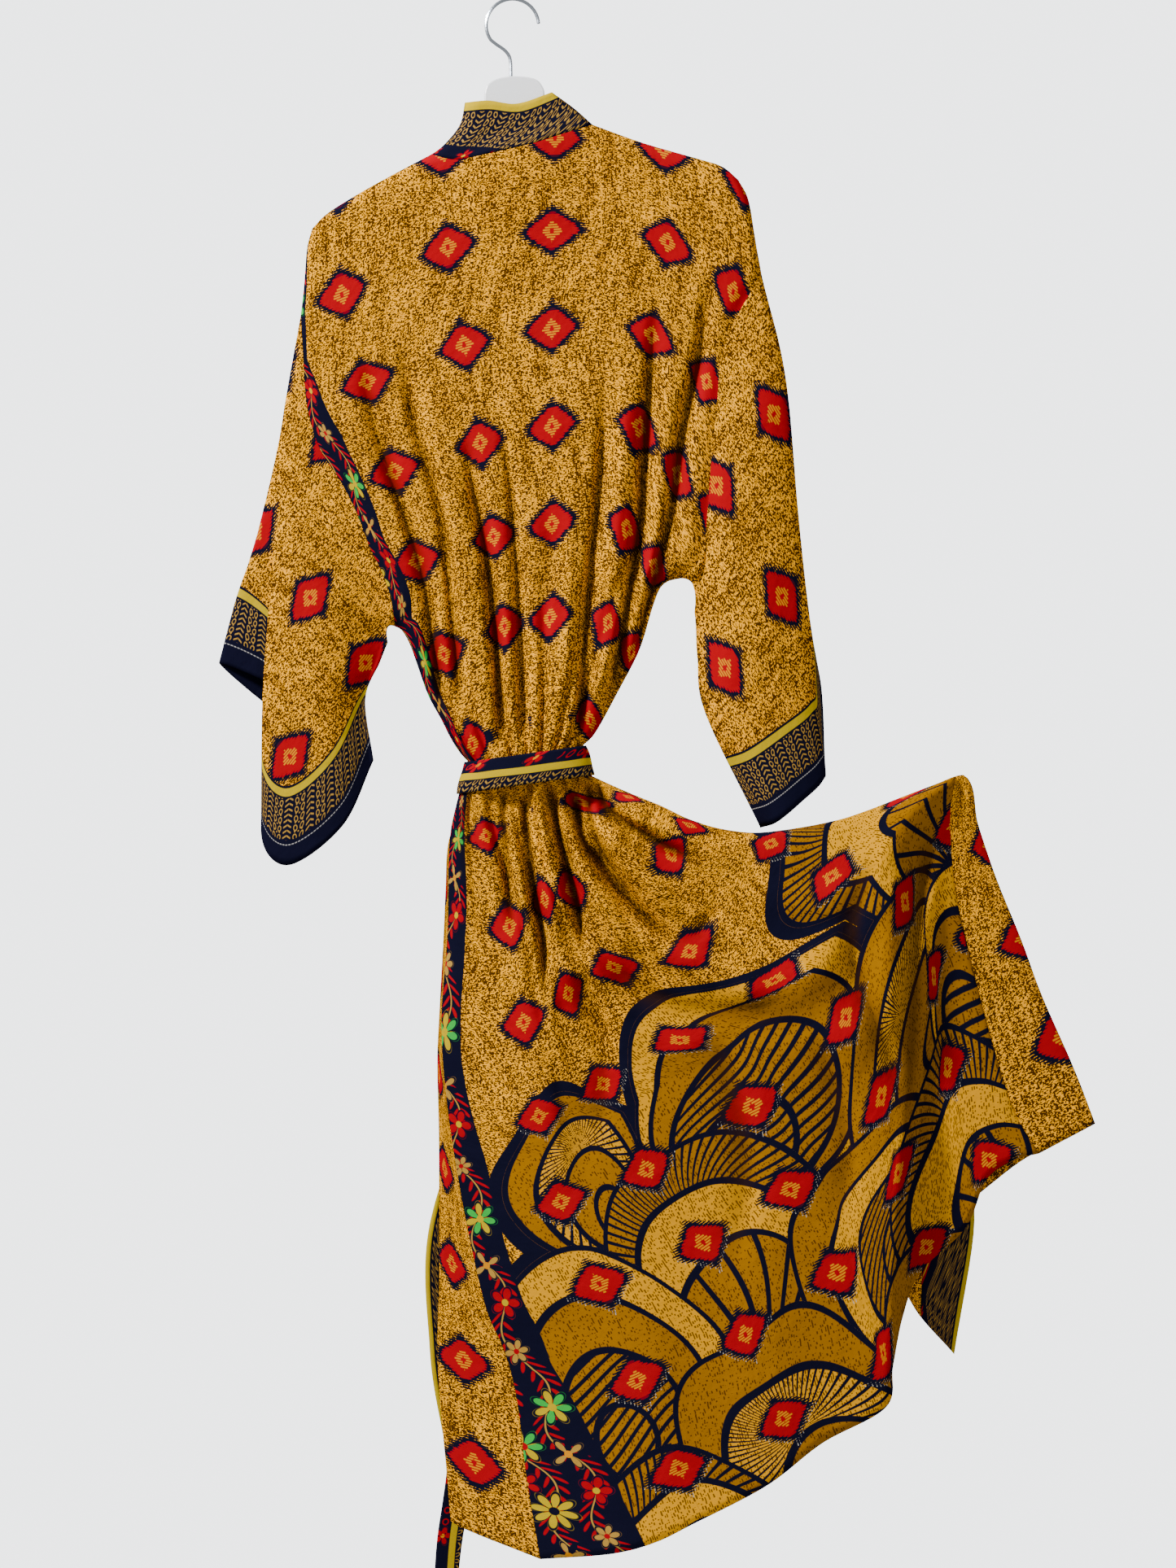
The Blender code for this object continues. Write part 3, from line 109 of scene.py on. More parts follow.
SLEEVE_OUTER_RIGHT = ((246, -270), (269, -372), (278, -476), (285, -555), (295, -657), (304, -742))
COLLAR_TOP = ((-45, -100), (-22, -98), (6, -101), (40, -90))
COLLAR_END_LEFT = ((-78, -151), (-66, -142), (-50, -122), (-45, -100))
COLLAR_END_RIGHT = ((80, -122), (62, -106), (40, -90))
SKIRT_LEFT = (
    (-60, -825), (-62, -917), (-68, -998), (-64, -1070), (-50, -1166),
    (-26, -1278), (-6, -1326), (6, -1374), (16, -1454), (29, -1530),
)
SWAG = (
    (118, -779), (146, -790), (178, -805), (218, -816), (266, -818), (330, -802), (394, -778), (436, -762),
)
DROP_BELOW_CORNER = (
    (436, -762), (431, -800), (435, -866), (448, -930), (471, -1019), (494, -1090), (518, -1132),
)
HEM = (
    (29, -1530), (98, -1525), (141, -1514), (178, -1496), (251, -1458), (306, -1416), (368, -1381),
    (375, -1340), (385, -1290), (402, -1248), (446, -1205), (467, -1157), (494, -1138), (518, -1132),
)


class Grain(NamedTuple):
    """Where one grain line of the back runs, as shares of the shoulder line and of the waist."""

    across: float
    shoulder: float
    waist: float


GRAINS = (
    Grain(0, 0, 0), Grain(0.165, 0.1, 0.11), Grain(0.35, 0.3015, 0.41), Grain(0.363, 0.32, 0.43),
    Grain(0.539, 0.573, 0.665), Grain(0.603, 0.6616, 0.76), Grain(0.732, 0.84, 0.92),
    Grain(0.86, 0.975, 0.97), Grain(1, 1, 1),
)
NECK_LEFT, NECK_RIGHT = 0.35, 0.603

# Rows of the body, as shares of its three stretches, and the columns across the back
DROP_ROWS = refined((0, 0.012, 0.04, 0.1, 0.25, 0.55, 1), 3)
ARMHOLE_ROWS = refined((0, 0.05, 0.1, 0.2, 0.3, 0.41, 0.55, 0.7, 0.82, 0.92, 1), 5)
SIDE_ROWS = refined((0, 0.14, 0.36, 0.62, 0.84, 1), 5)
SKIRT_ROWS = refined(
    (0, 0.035, 0.08, 0.14, 0.21, 0.29, 0.37, 0.44, 0.5, 0.57, 0.65, 0.74, 0.83, 0.92, 1), 8)
LEFT_COLUMNS = refined((0, 0.006, 0.018, 0.045, 0.08, 0.12, 0.16, 0.2, 0.24, 0.28, 0.315, 0.35), 5)
NECK_COLUMNS = refined((0.35, 0.382, 0.414, 0.446, 0.478, 0.51, 0.542, 0.573, 0.603), 6)
RIGHT_COLUMNS = refined(
    (0.603, 0.635, 0.667, 0.7, 0.735, 0.775, 0.82, 0.865, 0.91, 0.95, 0.98, 0.994, 1), 5)


class Drift(NamedTuple):
    """How far the skirt's inner grain lines hang from a plain blend of its edges, in one row."""

    down: float
    x: tuple
    z: tuple


DRIFT_ACROSS = (0, 0.165, 0.363, 0.539, 0.732, 0.86, 1)
DRIFTS = (
    Drift(0.00, (0, 0, 0, 0, 0, 0, 0), (0, 0, 0, 0, 0, 0, 0)),
    Drift(0.18, (0, 12, -21, -38, -12, 1, 0), (0, -6, 2, -3, -6, 12, 0)),
    Drift(0.32, (0, 10, -36, -62, -44, -12, 0), (0, -7, -18, -25, -50, 4, 0)),
    Drift(0.45, (0, -5, -50, -62, -38, -28, 0), (0, -12, -43, -56, -76, -32, 0)),
    Drift(0.58, (0, -8, -30, -24, 4, 12, 0), (0, -6, -33, -40, -55, -8, 0)),
    Drift(0.71, (0, -2, -10, -10, 24, 22, 0), (0, 10, -7, -16, -34, 10, 0)),
    Drift(0.84, (0, 2, 0, 0, 16, 6, 0), (0, 18, 10, 10, -12, 16, 0)),
    Drift(1, (0, 0, 0, 0, 0, 0, 0), (0, 0, 0, 0, 0, 0, 0)),
)


class Pleat(NamedTuple):
    """One gather that the sash presses in: its place at the waist, size and reach up or down."""

    waist: float
    end: float
    width: float
    end_width: float
    depth: float
    reach: float


PLEATS_ABOVE = (
    Pleat(0.1, 0.12, 0.022, 0.05, 6, 0.55), Pleat(0.22, 0.2, 0.02, 0.05, 6.5, 0.62),
    Pleat(0.335, 0.35, 0.02, 0.035, 7.5, 0.9), Pleat(0.43, 0.43, 0.02, 0.04, 5, 0.4),
    Pleat(0.515, 0.47, 0.018, 0.035, 7, 0.7), Pleat(0.6, 0.68, 0.018, 0.04, 6, 0.62),
    Pleat(0.675, 0.8, 0.02, 0.05, 7, 0.78),
)
PLEATS_BELOW = (
    Pleat(0.12, 0.14, 0.022, 0.04, 5, 0.4), Pleat(0.23, 0.25, 0.022, 0.035, 7, 0.8),
    Pleat(0.335, 0.34, 0.02, 0.035, 6.5, 0.55), Pleat(0.43, 0.45, 0.02, 0.035, 7, 0.75),
    Pleat(0.525, 0.55, 0.02, 0.03, 6.5, 0.55), Pleat(0.61, 0.66, 0.02, 0.03, 6.5, 0.6),
    Pleat(0.7, 0.78, 0.022, 0.03, 5, 0.45),
)
PLEATS_FRONT = (
    Pleat(0.1, 0.1, 0.022, 0.05, 3, 0.45), Pleat(0.26, 0.26, 0.022, 0.05, 3, 0.4),
    Pleat(0.44, 0.44, 0.022, 0.05, 3, 0.35), Pleat(0.62, 0.62, 0.022, 0.05, 3, 0.4),
    Pleat(0.78, 0.78, 0.022, 0.05, 3, 0.35), Pleat(0.9, 0.9, 0.02, 0.04, 3, 0.45),
)


class Fold(NamedTuple):
    """One fold of the skirt's back: a bent line, its height towards the viewer and its two half widths."""

    start: tuple
    bend: tuple
    end: tuple
    height: float
    left: float
    right: float


FOLDS = (
    Fold((18, -800), (28, -950), (48, -1160), 8, 30, 9),
    Fold((44, -800), (52, -900), (120, -1010), 8, 14, 12),
    Fold((66, -800), (90, -870), (190, -950), 9, 16, 9),
    Fold((86, -790), (120, -850), (215, -925), 9, 12, 9),
    Fold((100, -795), (150, -830), (225, -850), 7, 12, 10),
    Fold((190, -935), (270, -980), (380, -850), 10, 18, 26),
    Fold((240, -880), (320, -880), (420, -790), 8, 18, 22),
    Fold((270, -1040), (350, -1010), (418, -830), 8, 24, 26),
    Fold((90, -1180), (140, -1330), (150, -1480), 6, 45, 30),
    Fold((230, -1130), (250, -1290), (260, -1430), 6, 40, 40),
    Fold((420, -880), (440, -1000), (470, -1110), 7, 14, 14),
)
STEP_LINE = ((432, -800), (402, -958), (389, -1102), (380, -1218), (376, -1310), (371, -1384))
STRIP_DEPTH = 5
STEP_WIDTH = 15
SKIRT_DEPTHS = ((0, 26.5), (0.1, 30), (0.3, 36), (0.6, 44), (1, 50))
SKIRT_LEFT_EDGE = ((0, 0), (0.2, 0), (0.5, 4), (0.7, 7), (1, 10))
SKIRT_RIGHT_EDGE = ((0, 0), (0.45, 0), (0.6, 2), (1, 4))
BACK_DEPTHS = ((0, 9), (0.3, 12), (0.7, 17), (0.9, 22), (1, 23.4))
FRONT_DEPTHS = ((0, 9), (0.3, 12), (0.7, 18), (0.9, 22), (1, 23.4))

# Fronts above the sash: the seam of each front band and its free edge, as (x, z)
BAND_SEAM_LEFT = ((-78, -151), (-74, -220), (-56, -380), (-30, -540), (-2, -660))
BAND_EDGE_LEFT = ((-45, -100), (-24, -190), (0, -340), (26, -500), (46, -640))
BAND_SEAM_RIGHT = ((80, -122), (80, -210), (68, -380), (50, -540), (30, -650))
BAND_EDGE_RIGHT = ((40, -90), (26, -190), (8, -330), (-12, -500), (-28, -640))
BAND_AT_WAIST_LEFT = (0.55, 0.8)
BAND_AT_WAIST_RIGHT = (0.32, 0.12)
BAND_COLUMNS = refined((0, 0.25, 0.5, 0.75, 1), 3)


class FrontRow(NamedTuple):
    """One row of a front's skirt below the sash, as (x, depth, z) from the side seam to the free edge."""

    down: float
    turn: tuple
    behind: tuple
    inner: tuple
    seam: tuple
    edge: tuple


FRONT_LEFT_ROWS = (
    FrontRow(0.09, (-61, 10, -825), (-34, 33, -826), (4, 40, -828), (24, 41, -829), (56, 38, -830)),
    FrontRow(0.16, (-64, 11, -872), (-34, 35, -874), (10, 42, -878), (32, 43, -878), (56, 50, -880)),
    FrontRow(0.22, (-66, 11, -920), (-34, 36, -924), (16, 43, -928), (36, 45, -928), (50, 58, -930)),
    FrontRow(0.29, (-69, 11, -975), (-34, 35, -978), (20, 42, -980), (40, 45, -978), (28, 66, -976)),
    FrontRow(0.37, (-72, 11, -1035), (-34, 34, -1036), (22, 39, -1036), (36, 48, -1034), (-10, 62, -1030)),
    FrontRow(0.47, (-70, 11, -1112), (-30, 30, -1112), (40, 40, -1112), (12, 54, -1110), (-48, 48, -1106)),
    FrontRow(0.6, (-67, 11, -1212), (-24, 27, -1212), (48, 38, -1212), (-20, 52, -1206), (-80, 44, -1202)),
    FrontRow(0.78, (-61, 11, -1350), (-14, 26, -1348), (52, 36, -1342), (-18, 50, -1330), (-80, 43, -1322)),
    FrontRow(1, (-46, 11, -1500), (-4, 25, -1490), (50, 36, -1464), (-8, 50, -1440), (-64, 43, -1424)),
)
FRONT_RIGHT_ROWS = (
    FrontRow(0.09, (121, 8, -785), (92, 24, -800), (50, 28, -815), (22, 28, -826), (-18, 25, -838)),
    FrontRow(0.21, (200, 8, -818), (140, 24, -842), (90, 29, -868), (62, 30, -886), (22, 31, -916)),
    FrontRow(0.37, (318, 8, -812), (240, 24, -872), (170, 30, -930), (140, 33, -956), (102, 46, -978)),
    FrontRow(0.44, (390, 7, -786), (300, 23, -872), (212, 30, -958), (180, 35, -984), (154, 74, -984)),
    FrontRow(0.5, (444, 5, -762), (350, 22, -870), (252, 30, -985), (224, 36, -1012), (226, 80, -984)),
    FrontRow(0.57, (458, 5, -808), (370, 21, -920), (268, 30, -1036), (246, 38, -1058), (286, 66, -1010)),
    FrontRow(0.65, (474, 5, -860), (392, 20, -965), (290, 29, -1082), (278, 38, -1098), (338, 48, -1044)),
    FrontRow(0.74, (497, 5, -920), (416, 19, -1015), (322, 28, -1132), (322, 36, -1140), (392, 42, -1086)),
    FrontRow(0.83, (517, 5, -978), (440, 18, -1065), (348, 27, -1180), (362, 36, -1186), (436, 41, -1136)),
    FrontRow(0.92, (545, 4, -1045), (462, 17, -1110), (372, 26, -1220), (388, 35, -1234), (455, 40, -1198)),
    FrontRow(1, (569, 3, -1105), (486, 16, -1150), (384, 25, -1250), (394, 34, -1280), (435, 38, -1329)),
)
FRONT_STATIONS = (0, 0.12, 0.42, 0.68, 0.8, 1)


class SleeveRow(NamedTuple):
    """One ring of a sleeve, as (x, depth, z) points; a depth below zero is on the back's side."""

    along: float
    under: tuple
    near_low: tuple
    near_mid: tuple
    near_top: tuple
    top: tuple
    far_top: tuple
    far_mid: tuple
    far_low: tuple


SLEEVE_LEFT_ROWS = (
    SleeveRow(0.28, (-121, 0, -630), (-163, -14, -552), (-202, -14, -482), (-222, -9, -428), (-225, 0, -420),
              (-222, 9, -428), (-196, 13, -486), (-156, 12, -560)),
    SleeveRow(0.52, (-129, 0, -650), (-170, -16, -620), (-208, -15, -572), (-230, -8, -528), (-233, -1, -516),
              (-248, 4, -524), (-210, 15, -548), (-168, 14, -610)),
    SleeveRow(0.76, (-143, 0, -686), (-176, -17, -712), (-220, -16, -716), (-243, -8, -668), (-222, 1, -612),
              (-270, 5, -588), (-226, 15, -614), (-180, 15, -666)),
    SleeveRow(1, (-135, 0, -746), (-166, -16, -811), (-221, -16, -849), (-245, -8, -808), (-206, 2, -700),
              (-286, 4, -650), (-236, 14, -694), (-180, 14, -726)),
)
SLEEVE_RIGHT_ROWS = (
    SleeveRow(0.28, (180, 0, -600), (205, -18, -530), (236, -18, -440), (264, -10, -384), (270, 0, -374),
              (264, 9, -384), (232, 14, -442), (202, 12, -526)),
    SleeveRow(0.52, (183, 0, -645), (214, -20, -608), (248, -20, -560), (275, -10, -516), (282, 0, -505),
              (275, 11, -510), (240, 20, -540), (206, 16, -590)),
    SleeveRow(0.76, (191, 0, -700), (222, -22, -700), (258, -22, -672), (287, -11, -648), (295, 0, -634),
              (286, 13, -590), (244, 24, -618), (208, 18, -648)),
    SleeveRow(1, (245, 0, -812), (262, -20, -806), (286, -20, -786), (306, -11, -766), (308, 0, -746),
              (298, 13, -650), (248, 24, -684), (202, 16, -712)),
)
SLEEVE_ARCH_LEFT, SLEEVE_ARCH_RIGHT = (-4, 6), (5, 9)
SLEEVE_RINGS = refined((0, 0.05, 0.13, 0.22, 0.31, 0.4, 0.5, 0.6, 0.7, 0.8, 0.9, 1), 7)

# Sash knot and tails, as (x, depth, z)
KNOT_CENTRE = (26, 38.7, -753)
KNOT_SIZE = (40, 19, 36)
LONG_TAIL = (
    (22, 43, -770.2), (18, 60, -800), (12, 71, -900), (-6, 72, -1100), (-26, 69, -1270),
    (-42, 66, -1390), (-52, 60, -1462), (-60, 56, -1510), (-64, 56, -1552),
)
SHORT_TAIL = (
    (30, 36.5, -770.2), (44, 48, -800), (62, 52, -850), (78, 52, -900), (84, 50, -1000), (82, 48, -1100),
)
TAIL_TURN = ((0, 0.2), (0.8, 0.3), (1, 0.7))


# The diamonds' lattice: its pitches, and its rows on the hanging back, from left to right, as (x, z)
PITCH_ACROSS, PITCH_DOWN = 112.0, 94.0
ROWS_ABOVE = (
    ((-166, -289), (-62, -242), (40, -226), (154, -237), (218, -286)),
    ((-141, -374), (-46, -338), (40, -322), (138, -328), (192, -374)),
    ((-114, -462), (-30, -434), (40, -418), (126, -418), (163, -466)),
    ((-93, -550), (-17, -526), (40, -514), (114, -518), (140, -556)),
    ((-66, -642), (-6, -614), (38, -606), (96, -610), (118, -640)),
    ((-38, -730), (4, -712), (34, -704), (78, -706)),
)
ROWS_BELOW = (
    ((-20, -818), (10, -798), (35, -789), (68, -782), (116, -775)),
    ((-6, -910), (30, -885), (62, -872), (157, -842), (178, -807)),
    ((9, -1002), (54, -977), (104, -946), (176, -930), (250, -826)),
    ((22, -1094), (86, -1064), (168, -1018), (258, -956), (314, -861)),
    ((44, -1184), (136, -1142), (240, -1082), (327, -994), (390, -882)),
    ((82, -1266), (186, -1222), (280, -1166), (366, -1074)),
    ((118, -1353), (226, -1310), (322, -1246)),
    ((162, -1446), (272, -1390), (362, -1326)),
)

# The flowered border's width, as (share of the way down, share across), above and below the sash
BORDER_ABOVE = (
    (0, 0), (0.143, 0.017), (0.229, 0.015), (0.274, 0.047), (0.379, 0.092), (0.445, 0.077), (0.562, 0.068),
    (0.676, 0.091), (0.836, 0.079), (0.954, 0.075), (1, 0.08))
BORDER_BELOW = (
    (0, 0.09), (0.183, 0.047), (0.344, 0.036), (0.388, 0.04), (0.478, 0.054), (0.619, 0.061), (0.765, 0.063),
    (0.972, 0.143), (1, 0.151))


class Crease(NamedTuple):
    """One fold: its line on the hanging back as (x, z), how deep it presses in and its width.

    A depth below zero stands out.
    """

    line: tuple
    deep: float
    wide: float


CREASES = tuple(Crease(*row) for row in (
    (((-10, -752), (-19, -591), (-42, -457), (-45, -395)), 12, 7),
    (((10, -752), (7, -612), (-1, -488), (-11, -395)), 9, 6),
    (((-2, -730), (-6, -612), (-21, -480)), -5, 7),
    (((52, -720), (56, -600), (60, -470)), -4, 8),
    (((64, -748), (77, -561), (87, -457), (92, -354)), 12, 6.5),
    (((84, -690), (100, -561), (110, -457), (118, -340)), -5, 8),
    (((94, -705), (123, -530), (129, -457), (134, -379), (144, -276)), 15, 7.5),
    (((120, -650), (142, -520), (150, -431), (166, -328)), -5, 9),
    (((118, -655), (154, -509), (165, -431), (186, -328), (190, -250)), 14, 7.5),
    (((-66, -720), (-89, -561), (-135, -416), (-146, -328)), 12, 8.5),
    (((-42, -700), (-56, -540), (-84, -420)), -5, 10),
    (((-48, -720), (-68, -519), (-99, -406), (-114, -302)), 11, 7.5),
    (((-9, -762), (-5, -821), (-2, -870), (4, -930)), 12, 7),
    (((3, -789), (9, -854), (14, -908)), -5, 9),
    (((10, -762), (18, -827), (24, -876), (32, -925), (34, -1010)), 17, 8),
    (((25, -785), (34, -827), (41, -881), (49, -925)), -6, 9),
    (((38, -762), (47, -813), (57, -854), (67, -898), (73, -960)), 18, 8),
    (((52, -800), (71, -854), (93, -892), (120, -925), (147, -946)), -9, 11),
    (((60, -762), (71, -821), (90, -846), (109, -870), (129, -895), (157, -919), (190, -935)),
           22, 9),
    (((93, -808), (120, -840), (147, -870), (174, -895)), -8, 12),
    (((76, -762), (79, -808), (93, -840), (112, -862)), 13, 7),
    (((82, -760), (93, -788), (104, -801), (136, -820), (166, -836), (200, -846)), 18, 8),
    (((106, -792), (140, -808), (190, -825)), -5, 9),
    (((71, -950), (80, -985), (104, -1030)), 7, 12),
    (((203, -888), (192, -905), (180, -924)), 8, 5),
    (((-43, -775), (-38, -860), (-30, -940)), 6, 8),
    (((92, -942), (150, -980), (240, -990), (300, -960)), 9, 18),
    (((60, -960), (90, -1040), (84, -1140)), 6, 16),
    (((419, -797), (402, -886), (395, -1010), (386, -1128)), 12, 14),
    (((354, -832), (336, -927), (360, -1010), (395, -1093)), 11, 14),
    (((380, -840), (370, -930), (382, -1030)), -9, 14),
    (((200, -1010), (230, -1140), (210, -1260)), 8, 24),
    (((300, -1010), (330, -1120), (320, -1220)), 7, 18),
))
CREASE_STARTS, CREASE_ENDS = 0.15, 0.3
CREASE_WALLS = (0.6, 1.35)
CREASE_SHARPNESS = 1.5
# Painted shade of the creases: the depth at which it is full, and its width as a share of a crease's
PAINTED_SHADE_FULL_DEPTH = 16
PAINTED_SHADE_WIDTH = 0.55

# Curves and surfaces


def as_seen(points: Array) -> Array:
    """Points whose x and z were read in the hanger's plane, moved along their line of sight.

    Args:
        points: Points in the last axis.

    Returns:
        The moved points: x and z are scaled about the eye by the point's own distance from it.
    """
    away = (points[..., 1:2] - EYE[1]) / -EYE[1]
    seen = points.copy()
    seen[..., [0, 2]] = EYE[[0, 2]] + (points[..., [0, 2]] - EYE[[0, 2]]) * away
    return seen


def ease(value: Array) -> Array:
    """Smooth step from 0 to 1."""
    value = np.clip(value, 0.0, 1.0)
    return value * value * (3.0 - 2.0 * value)


def mixed(first: Array, second: Array, share: Array) -> Array:
    """The first shape where the share is 0, the second where it is 1 and a blend between."""
    return (1 - share) * first + share * second


def rounded(value: Array) -> Array:
    """Quarter circle: 0 with a steep start at 0, and 1 from 1 on."""
    return np.sqrt(np.clip(1.0 - (1.0 - np.clip(value, 0.0, 1.0)) ** 2, 0.0, 1.0))


def reading(table: tuple, at: Shares) -> Array:
    """Value of a two-column table, with straight lines between its rows."""
    rows = np.asarray(table, float)
    return np.interp(at, rows[:, 0], rows[:, 1])


def smooth_points(points: tuple, steps: int = 16) -> Array:
    """Points close together on the Catmull-Rom curve through the given ones.

    Args:
        points: The curve's own points.
        steps: How many new points take the place of one.

    Returns:
        The points, one a row.
    """
    p = np.asarray(points, float)
    p = np.vstack([2 * p[0] - p[1], p, 2 * p[-1] - p[-2]])
    t = np.linspace(0.0, 1.0, steps, endpoint=False)[:, None]
    runs = []
    for a, b, c, d in zip(p[:-3], p[1:-2], p[2:-1], p[3:]):
        runs.append(0.5 * (2 * b + (c - a) * t + (2 * a - 5 * b + 4 * c - d) * t**2
                           + (3 * b - a - 3 * c + d) * t**3))
    return np.vstack(runs + [p[-2][None]])


def run_of(line: Array) -> Array:
    """Running length along a line of points."""
    return np.concatenate([[0.0], np.cumsum(np.linalg.norm(np.diff(line, axis=0), axis=1))])


def along(points: tuple, share: Shares, steps: int = 16) -> Array:
    """Points on the smooth curve through the given ones, by their share of its length.

    Args:
        points: The curve's own points.
        share: Shares from 0 to 1.
        steps: How finely the curve is measured.

    Returns:
        The points, one for each share.
    """
    dense = smooth_points(points, steps)
    run = run_of(dense)
    return np.stack([np.interp(np.asarray(share) * run[-1], run, axis) for axis in dense.T], -1)


def spline_rows(keys: list, rows: list, at: Shares) -> Array:
    """Smooth values between rows, by cubic Hermite pieces whose slopes are the rows' own gradients.

    Args:
        keys: The rows' places, rising.
        rows: Arrays of one shape.
        at: Where values are wanted.

    Returns:
        One array for each wanted place.
    """
    keys, rows = np.asarray(keys, float), np.asarray(rows, float)
    slopes = np.gradient(rows, keys, axis=0)
    index = np.clip(np.searchsorted(keys, at, side="right") - 1, 0, len(keys) - 2)
    span = keys[index + 1] - keys[index]
    shape = (-1,) + (1,) * (rows.ndim - 1)
    t = ((np.asarray(at) - keys[index]) / span).reshape(shape)
    span = span.reshape(shape)
    return ((2 * t**3 - 3 * t**2 + 1) * rows[index] + (t**3 - 2 * t**2 + t) * span * slopes[index]
            + (3 * t**2 - 2 * t**3) * rows[index + 1] + (t**3 - t**2) * span * slopes[index + 1])


def from_line(points: tuple, x: Array, z: Array, steps: int = 6
              ) -> tuple[Array, Array, Array]:
    """How each place lies to a smooth line: its nearest piece is found among all of them.

    Args:
        points: The line's own points, as (x, z).
        x, z: The places.
        steps: How finely the line is followed.

    Returns:
        The distance, the side (1 on the line's right as it goes down, else -1) and the share along it.
    """
    line = smooth_points(points, steps)
    start, step = line[:-1], np.diff(line, axis=0)
    offset = np.stack([x, z], -1)[..., None, :] - start
    share = np.clip((offset * step).sum(-1) / (step * step).sum(-1), 0.0, 1.0)
    gap = offset - share[..., None] * step
    reach = np.linalg.norm(gap, axis=-1)
    nearest = reach.argmin(-1)
    chosen = np.take_along_axis(gap, nearest[..., None, None], -2)[..., 0, :]
    way = step[nearest]
    turn = way[..., 0] * chosen[..., 1] - way[..., 1] * chosen[..., 0]
    run = run_of(line)
    part = np.take_along_axis(share, nearest[..., None], -1)[..., 0] * np.linalg.norm(way, axis=-1)
    return reach.min(-1), np.sign(turn), (run[nearest] + part) / run[-1]


def distance_to(points: tuple, x: Array, z: Array) -> Array:
    """Distance from each (x, z) to a smooth line through the points."""
    return from_line(points, x, z)[0]


def blend_patch(left: Array, right: Array, top: Array, bottom: Array, across: Array,
                down: Array) -> Array:
    """Coons patch: the two ruled surfaces between opposite edges, less the one through the corners.

    Args:
        left, right: Edge points by row.
        top, bottom: Edge points by column.
        across, down: Shares of the columns and rows.

    Returns:
        The patch, rows by columns.
    """
    u, v = across[None, :, None], down[:, None, None]
    ruled = (1 - u) * left[:, None] + u * right[:, None] + (1 - v) * top[None] + v * bottom[None]
    corners = ((1 - u) * (1 - v) * left[0] + u * (1 - v) * right[0]
               + (1 - u) * v * left[-1] + u * v * right[-1])
    return ruled - corners


def lengths(grid: Array, axis: int) -> Array:
    """Running length along each line of a grid, in millimetres."""
    step = np.linalg.norm(np.diff(grid, axis=axis), axis=-1)
    shape = list(grid.shape[:2])
    shape[axis] = 1
    return np.concatenate([np.zeros(shape), np.cumsum(step, axis=axis)], axis=axis)


def area_of(grid: Array) -> float:
    """Area of a grid's surface in square metres."""
    a, b = np.diff(grid[:, :-1], axis=0), np.diff(grid[:-1], axis=1)
    return float(np.linalg.norm(np.cross(a, b), axis=-1).sum()) * 1e-6


def thin_plate(places: Array, values: Array, at: Array) -> Array:
    """The smoothest surface through scattered values: a plane plus r^2 log r about each place.

    Args:
        places: Where the values are known, one place a row.
        values: The known values, one a row.
        at: Where they are wanted, places in the last axis.

    Returns:
        The values there.
    """
    def bend(a: Array, b: Array) -> Array:
        """r^2 log r between two sets of places."""
        squared = ((a[:, None] - b[None]) ** 2).sum(-1) + 1e-9
        return squared * np.log(squared) / 2

    def plane(a: Array) -> Array:
        """The terms of a plane."""
        return np.column_stack([np.ones(len(a)), a])

    count, terms = len(places), places.shape[1] + 1
    matrix = np.zeros((count + terms, count + terms))
    matrix[:count, :count] = bend(places, places) + 2e-3 * np.eye(count)
    matrix[:count, count:] = plane(places)
    matrix[count:, :count] = plane(places).T
    weights = np.linalg.solve(matrix, np.vstack([values, np.zeros((terms, values.shape[1]))]))
    flat = at.reshape(-1, at.shape[-1])
    result = bend(flat, places) @ weights[:count] + plane(flat) @ weights[count:]
    return result.reshape(at.shape[:-1] + (values.shape[1],))


# The garment's own lines


class Side(Enum):
    """A side of the wearer."""

    LEFT = "left"
    RIGHT = "right"


@dataclass(frozen=True)
class Outline:
    """One side's lines on the hanging garment, as (x, z) points."""

    shoulder: tuple
    drop: tuple
    armhole: tuple
    side: tuple
    sleeve: tuple
    band_seam: tuple
    band_edge: tuple
    collar_end: tuple
    band_at_waist: Pair
    waist_share: float
    column: int

    @cached_property
    def outer(self) -> tuple:
        """The line round the shoulder and down the sleeve."""
        if self.waist_share == 0.0:
            return self.sleeve[::-1] + self.drop[::-1][1:] + self.shoulder[1:]
        return self.shoulder + self.drop[1:] + self.sleeve[1:]


OUTLINES = {
    Side.LEFT: Outline(
        SHOULDER_LEFT, DROP_LEFT, ARMHOLE_LEFT, SIDE_LEFT, SLEEVE_OUTER_LEFT, BAND_SEAM_LEFT, BAND_EDGE_LEFT,
        COLLAR_END_LEFT, BAND_AT_WAIST_LEFT, 0.0, 0),
    Side.RIGHT: Outline(
        SHOULDER_RIGHT, DROP_RIGHT, ARMHOLE_RIGHT, SIDE_RIGHT, SLEEVE_OUTER_RIGHT, BAND_SEAM_RIGHT,
        BAND_EDGE_RIGHT, COLLAR_END_RIGHT, BAND_AT_WAIST_RIGHT, 1.0, -1),
}
UNDERARM = len(DROP_ROWS) + len(ARMHOLE_ROWS) - 2
ARMHOLE = slice(len(DROP_ROWS) - 1, len(DROP_ROWS) + len(ARMHOLE_ROWS) - 1)


